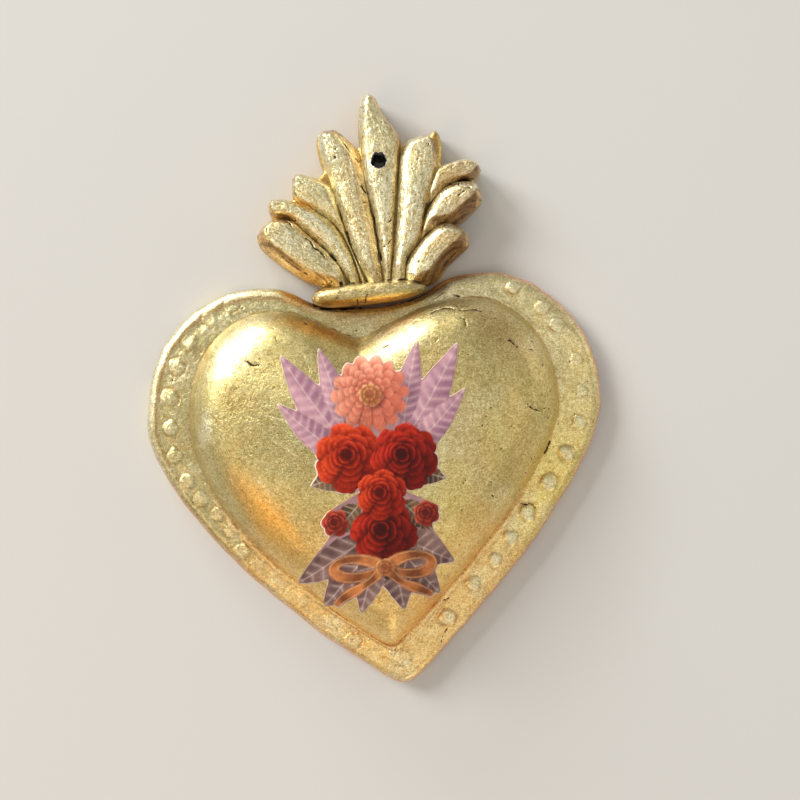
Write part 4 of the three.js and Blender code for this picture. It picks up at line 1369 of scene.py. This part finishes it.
class Ink:
    """Paint laid over points: each motif covers what is under it and shades what is beside it."""

    def __init__(self, x, y):
        self.x, self.y = x, y
        self.colour = plain(x, GROUND)
        self.covered = np.zeros(x.shape)

    def lay(self, colour, mask):
        """Lays light values over what is there by a share from 0 to 1."""
        self.colour = self.colour + (colour - self.colour) * mask[..., None]
        self.covered = np.maximum(self.covered, mask)

    def blossom(self, at, radius, rings, petals, inks, turn, frill):
        """Rings of overlapping petals, from the outermost in. A ring's edge waves between its
        petals, each petal is lit at its rim and sinks into shadow at its foot."""
        outer, inner, dark = inks
        dx, dy = self.x - at[0], self.y - at[1]
        cast = ease(radius * 1.2 - np.hypot(dx - 0.6, dy + 0.6), 0, radius * 0.4)
        self.colour = self.colour * (1 - 0.45 * cast)[..., None]
        for ring in range(rings):
            share = 1 - ring / rings
            shift = 0.12 * radius * (1 - share)
            angle = np.arctan2(dy - shift, dx + shift)
            away = np.hypot(dy - shift, dx + shift)
            count = max(3, petals - ring)
            wave = angle * count / 2 + turn + ring * 1.9
            open_share = np.abs(np.cos(wave))
            edge = radius * (0.1 + 0.9 * share) * (1 - 1.8 * frill * (1 - open_share ** 0.6))
            edge = edge * (1 + 0.05 * rumple(self.x, self.y, 1.3, 15 + ring))
            inward = np.clip(away / np.maximum(edge, 0.1), 0, 1)
            sun = ease(dy - dx, -radius, radius)
            vein = rumple(angle * count * 3, inward * 2, 1, 20 + ring)
            painted_glow = ease(inward, 0.5, 1.0) * (0.4 + 0.6 * open_share) * (0.8 + 0.2 * vein)
            tone = layered(
                plain(self.x, dark),
                (inner, (0.1 + 0.85 * painted_glow) * (0.55 + 0.45 * sun)),
                (outer, painted_glow * (0.1 + 0.8 * sun) * ease(inward, 0.7, 1)),
            )
            crease = ease(open_share, 0.0, 0.4)
            tone = tone * (0.55 + 0.45 * crease[..., None])
            self.lay(tone, ease(edge - away, 0, 0.26))

    def leaf(self, start, end, width, bend, inks, teeth):
        """A leaf from its stalk to its tip: half width w * sin(pi * t ** 0.75), saw teeth on its
        edge, a midrib and side veins that slant forwards."""
        run = np.subtract(end, start)
        length = math.hypot(*run)
        dx, dy = self.x - start[0], self.y - start[1]
        along = (dx * run[0] + dy * run[1]) / length ** 2
        across = (dy * run[0] - dx * run[1]) / length
        across = across - bend * length * along * (1 - along)
        inside = np.clip(along, 0.001, 0.999)
        saw = (inside * teeth) % 1
        half = width * np.sin(math.pi * inside ** 0.75) * (0.86 + 0.14 * (1 - saw))
        half = half * ((along > 0) & (along < 1))
        mask = ease(half - np.abs(across), 0, 0.22)
        slant = np.sin((along * teeth - np.abs(across) / width * 0.9) * TURN)
        lit = 0.4 + 0.3 * np.tanh(across / width * 2) + 0.16 * slant + 0.2 * rumple(self.x, self.y, 2.1, 17)
        pale, deep = inks
        tone = layered(
            plain(self.x, deep),
            (pale, np.clip(lit, 0, 1)),
            (VEIN, 0.3 * ease(slant, 0.8, 1.0) + 0.4 * bell(across, 0.16)),
        )
        tone = tone * (1 - 0.35 * (1 - ease(half - np.abs(across), 0, 0.45)))[..., None]
        self.lay(tone, mask)

    def ribbon(self, width, points, inks):
        """A satin band along a curve, with a slow sheen, pale woven hems and dark edges."""
        pale, deep = inks
        steps = 160
        path = bezier(points, steps + 1)
        gap = np.hypot(self.x[..., None] - path[:, 0], self.y[..., None] - path[:, 1])
        away, along = gap.min(axis=-1), gap.argmin(axis=-1) / steps
        half = width / 2 * (0.86 + 0.14 * np.cos(along * 9))
        sheen = 0.5 + 0.5 * np.cos(along * 11 + 0.8 * rumple(self.x, self.y, 1.6, 25))
        tone = layered(
            plain(self.x, deep),
            (pale, 0.12 + 0.8 * sheen),
            (HEM, 0.45 * bell(away - 0.66 * half, 0.13)),
        )
        tone = tone * (0.45 + 0.55 * ease(half - away, 0.05, 0.3))[..., None]
        self.lay(tone, ease(half - away, 0, 0.25))

    def brushed(self):
        """The same paint with the small unevenness of brush and press."""
        grain = 1 + waves(self.x, self.y, 18, (0.1, 0.6), (0.09, 1.9))
        return self.colour * grain[..., None]


def flower_spray(x, y):
    """A spray of garden flowers: lilac leaves, a coral dahlia, red roses, a bronze ribbon and
    mauve leaves at the foot."""
    ink = Ink(x, y)
    for leaves, inks, teeth in ((LILAC_LEAVES, LILAC, 11), (MAUVE_LEAVES, MAUVE, 7), (MOSS_LEAVES, MOSS, 8)):
        for shape in leaves:
            ink.leaf(*shape, inks, teeth)
    for shape in BLOSSOMS:
        ink.blossom(*shape)
    for width, *points in RIBBONS:
        ink.ribbon(width, points, BRONZE)
    ink.blossom(*BOW_KNOT)
    return ink


def print_patch():
    """The print as a thin closed sheet on the dome: rings about its middle out to the farthest
    inked point in each direction, with a fine pale line left round the ink."""
    angle = np.arange(PRINT_COLUMNS) / PRINT_COLUMNS * TURN
    way = np.stack([np.cos(angle), np.sin(angle)], axis=1)
    probe = np.linspace(0, 40, 321)
    seen = PRINT_MIDDLE + way[:, None] * probe[:, None]
    inked = flower_spray(seen[..., 0], seen[..., 1]).covered > 0.5
    reach = soften((inked * probe).max(axis=1) + PRINT_MARGIN, 2)
    shares = 1 - (1 - np.linspace(0, 1, PRINT_ROWS + 1)[1:]) ** 1.1
    line = PRINT_MIDDLE + way * (reach * shares[:, None])[..., None]
    under_shares = np.linspace(0.97, 0.03, UNDER_ROWS)
    under = PRINT_MIDDLE + way * (reach * under_shares[:, None])[..., None]
    to_edge = reach * (1 - shares)[:, None]
    x, y = line[..., 0], line[..., 1]
    spray = flower_spray(x, y)
    wash = mixed(plain(x, WASH), DARK_WASH, 0.5 + 0.5 * rumple(x, y, 2, 21))
    colour = wash + (spray.brushed() - wash) * spray.covered[..., None]
    colour = mixed(colour, PALE_LINE, 0.85 * ease(-to_edge, -PRINT_MARGIN, -0.26))
    top = dome_lift(x, y)[0] + 0.1 + 0.18 * ease(to_edge, 0, 0.35)
    bottom = dome_lift(under[..., 0], under[..., 1])[0] + 0.03
    grid = np.concatenate([lifted(line, SHEET + top), lifted(under, SHEET + bottom)])
    ink = np.concatenate([colour, plain(under[..., 0], PAPER_BACK)])
    return skinned("print_sheet", grid, {"ink": ink}, paper, "print_patch", "printed_paper")


heart_plate()
heart_dome()
cutter = hole_cutter()
crown = [Tongue(shape, 100 + 10 * number) for number, shape in enumerate(TONGUES)]
for tongue in crown:
    made = flame_tongue(tongue)
    if tongue.name == "centre":
        cut_hole(made, cutter)
        shade_hole(made)
flame_plate(crown, cutter)
bpy.data.objects.remove(cutter)
crown_roll()
print_patch()


# Table, light and camera

TABLE_HALF = 1.6
LAMP_TARGET = (0.0, 0.02, 0.01)
SENSOR_WIDTH = 36.0
VIEW_FROM = (0.00661, 0.018226, 0.28)
VIEW_WIDTH = 0.208
VIEW_TURN = -4.2


def table():
    """A large pale table top, nearly even in colour and not shiny."""
    recipe = Recipe("pale_table")
    cloud = recipe.noise(recipe.here(), 0.005, 2)
    material = recipe.finish({
        "Base Color": recipe.blend(cloud * 0.5, opaque((212, 211, 208)), opaque((205, 204, 202))),
        "Roughness": 1.0, "Specular IOR Level": 0.1,
    })
    mesh = bpy.data.meshes.new("table_top")
    corners = [(x * TABLE_HALF, y * TABLE_HALF, 0) for x, y in ((-1, -1), (1, -1), (1, 1), (-1, 1))]
    mesh.from_pydata(corners, [], [(0, 1, 2, 3)])
    mesh.materials.append(material)
    top = linked("table_top", mesh)


def soft_light(name, spot, size, energy, colour):
    """A square lamp facing the heart."""
    lamp = bpy.data.lights.new(name, "AREA")
    lamp.shape = "SQUARE"
    lamp.size = size
    lamp.energy = energy
    lamp.color = colour
    made = linked(name, lamp)
    away = np.array(spot) - LAMP_TARGET
    tilt = math.atan2(math.hypot(away[0], away[1]), away[2])
    made.rotation_euler = (0, tilt, math.atan2(away[1], away[0]))
    made.location = spot


table()
soft_light("ceiling", (0.16, -0.14, 0.75), 0.64, 0.72, (1.0, 0.97, 0.9))
soft_light("window", (-1.623, 1.322, 1.108), 0.96, 50.0, (1.0, 0.99, 0.97))
soft_light("upper_window", (-0.642, 1.658, 0.37), 0.45, 11.6, (1.0, 0.99, 0.97))
soft_light("warm_wall", (-0.441, -0.265, 0.613), 0.3, 0.7, (1.0, 0.66, 0.30))
soft_light("right_wall", (0.92, 0.33, 0.27), 0.5, 0.7, (1.0, 0.93, 0.8))
soft_light("lower_wall", (0.28, -0.81, 0.28), 0.45, 0.9, (1.0, 0.86, 0.66))
world = bpy.data.worlds.new("studio")
world.use_nodes = True
background = world.node_tree.nodes["Background"].inputs
background["Color"].default_value = (0.98, 0.96, 0.93, 1)
background["Strength"].default_value = 0.43
bpy.context.scene.world = world

lens = bpy.data.cameras.new("camera")
lens.sensor_width = SENSOR_WIDTH
lens.lens = SENSOR_WIDTH * VIEW_FROM[2] / VIEW_WIDTH
lens.clip_start = 0.01
camera = linked("camera", lens)
camera.location = VIEW_FROM
camera.rotation_euler = (0, 0, math.radians(VIEW_TURN))
bpy.context.scene.camera = camera
bpy.context.scene.view_settings.view_transform = "Standard"
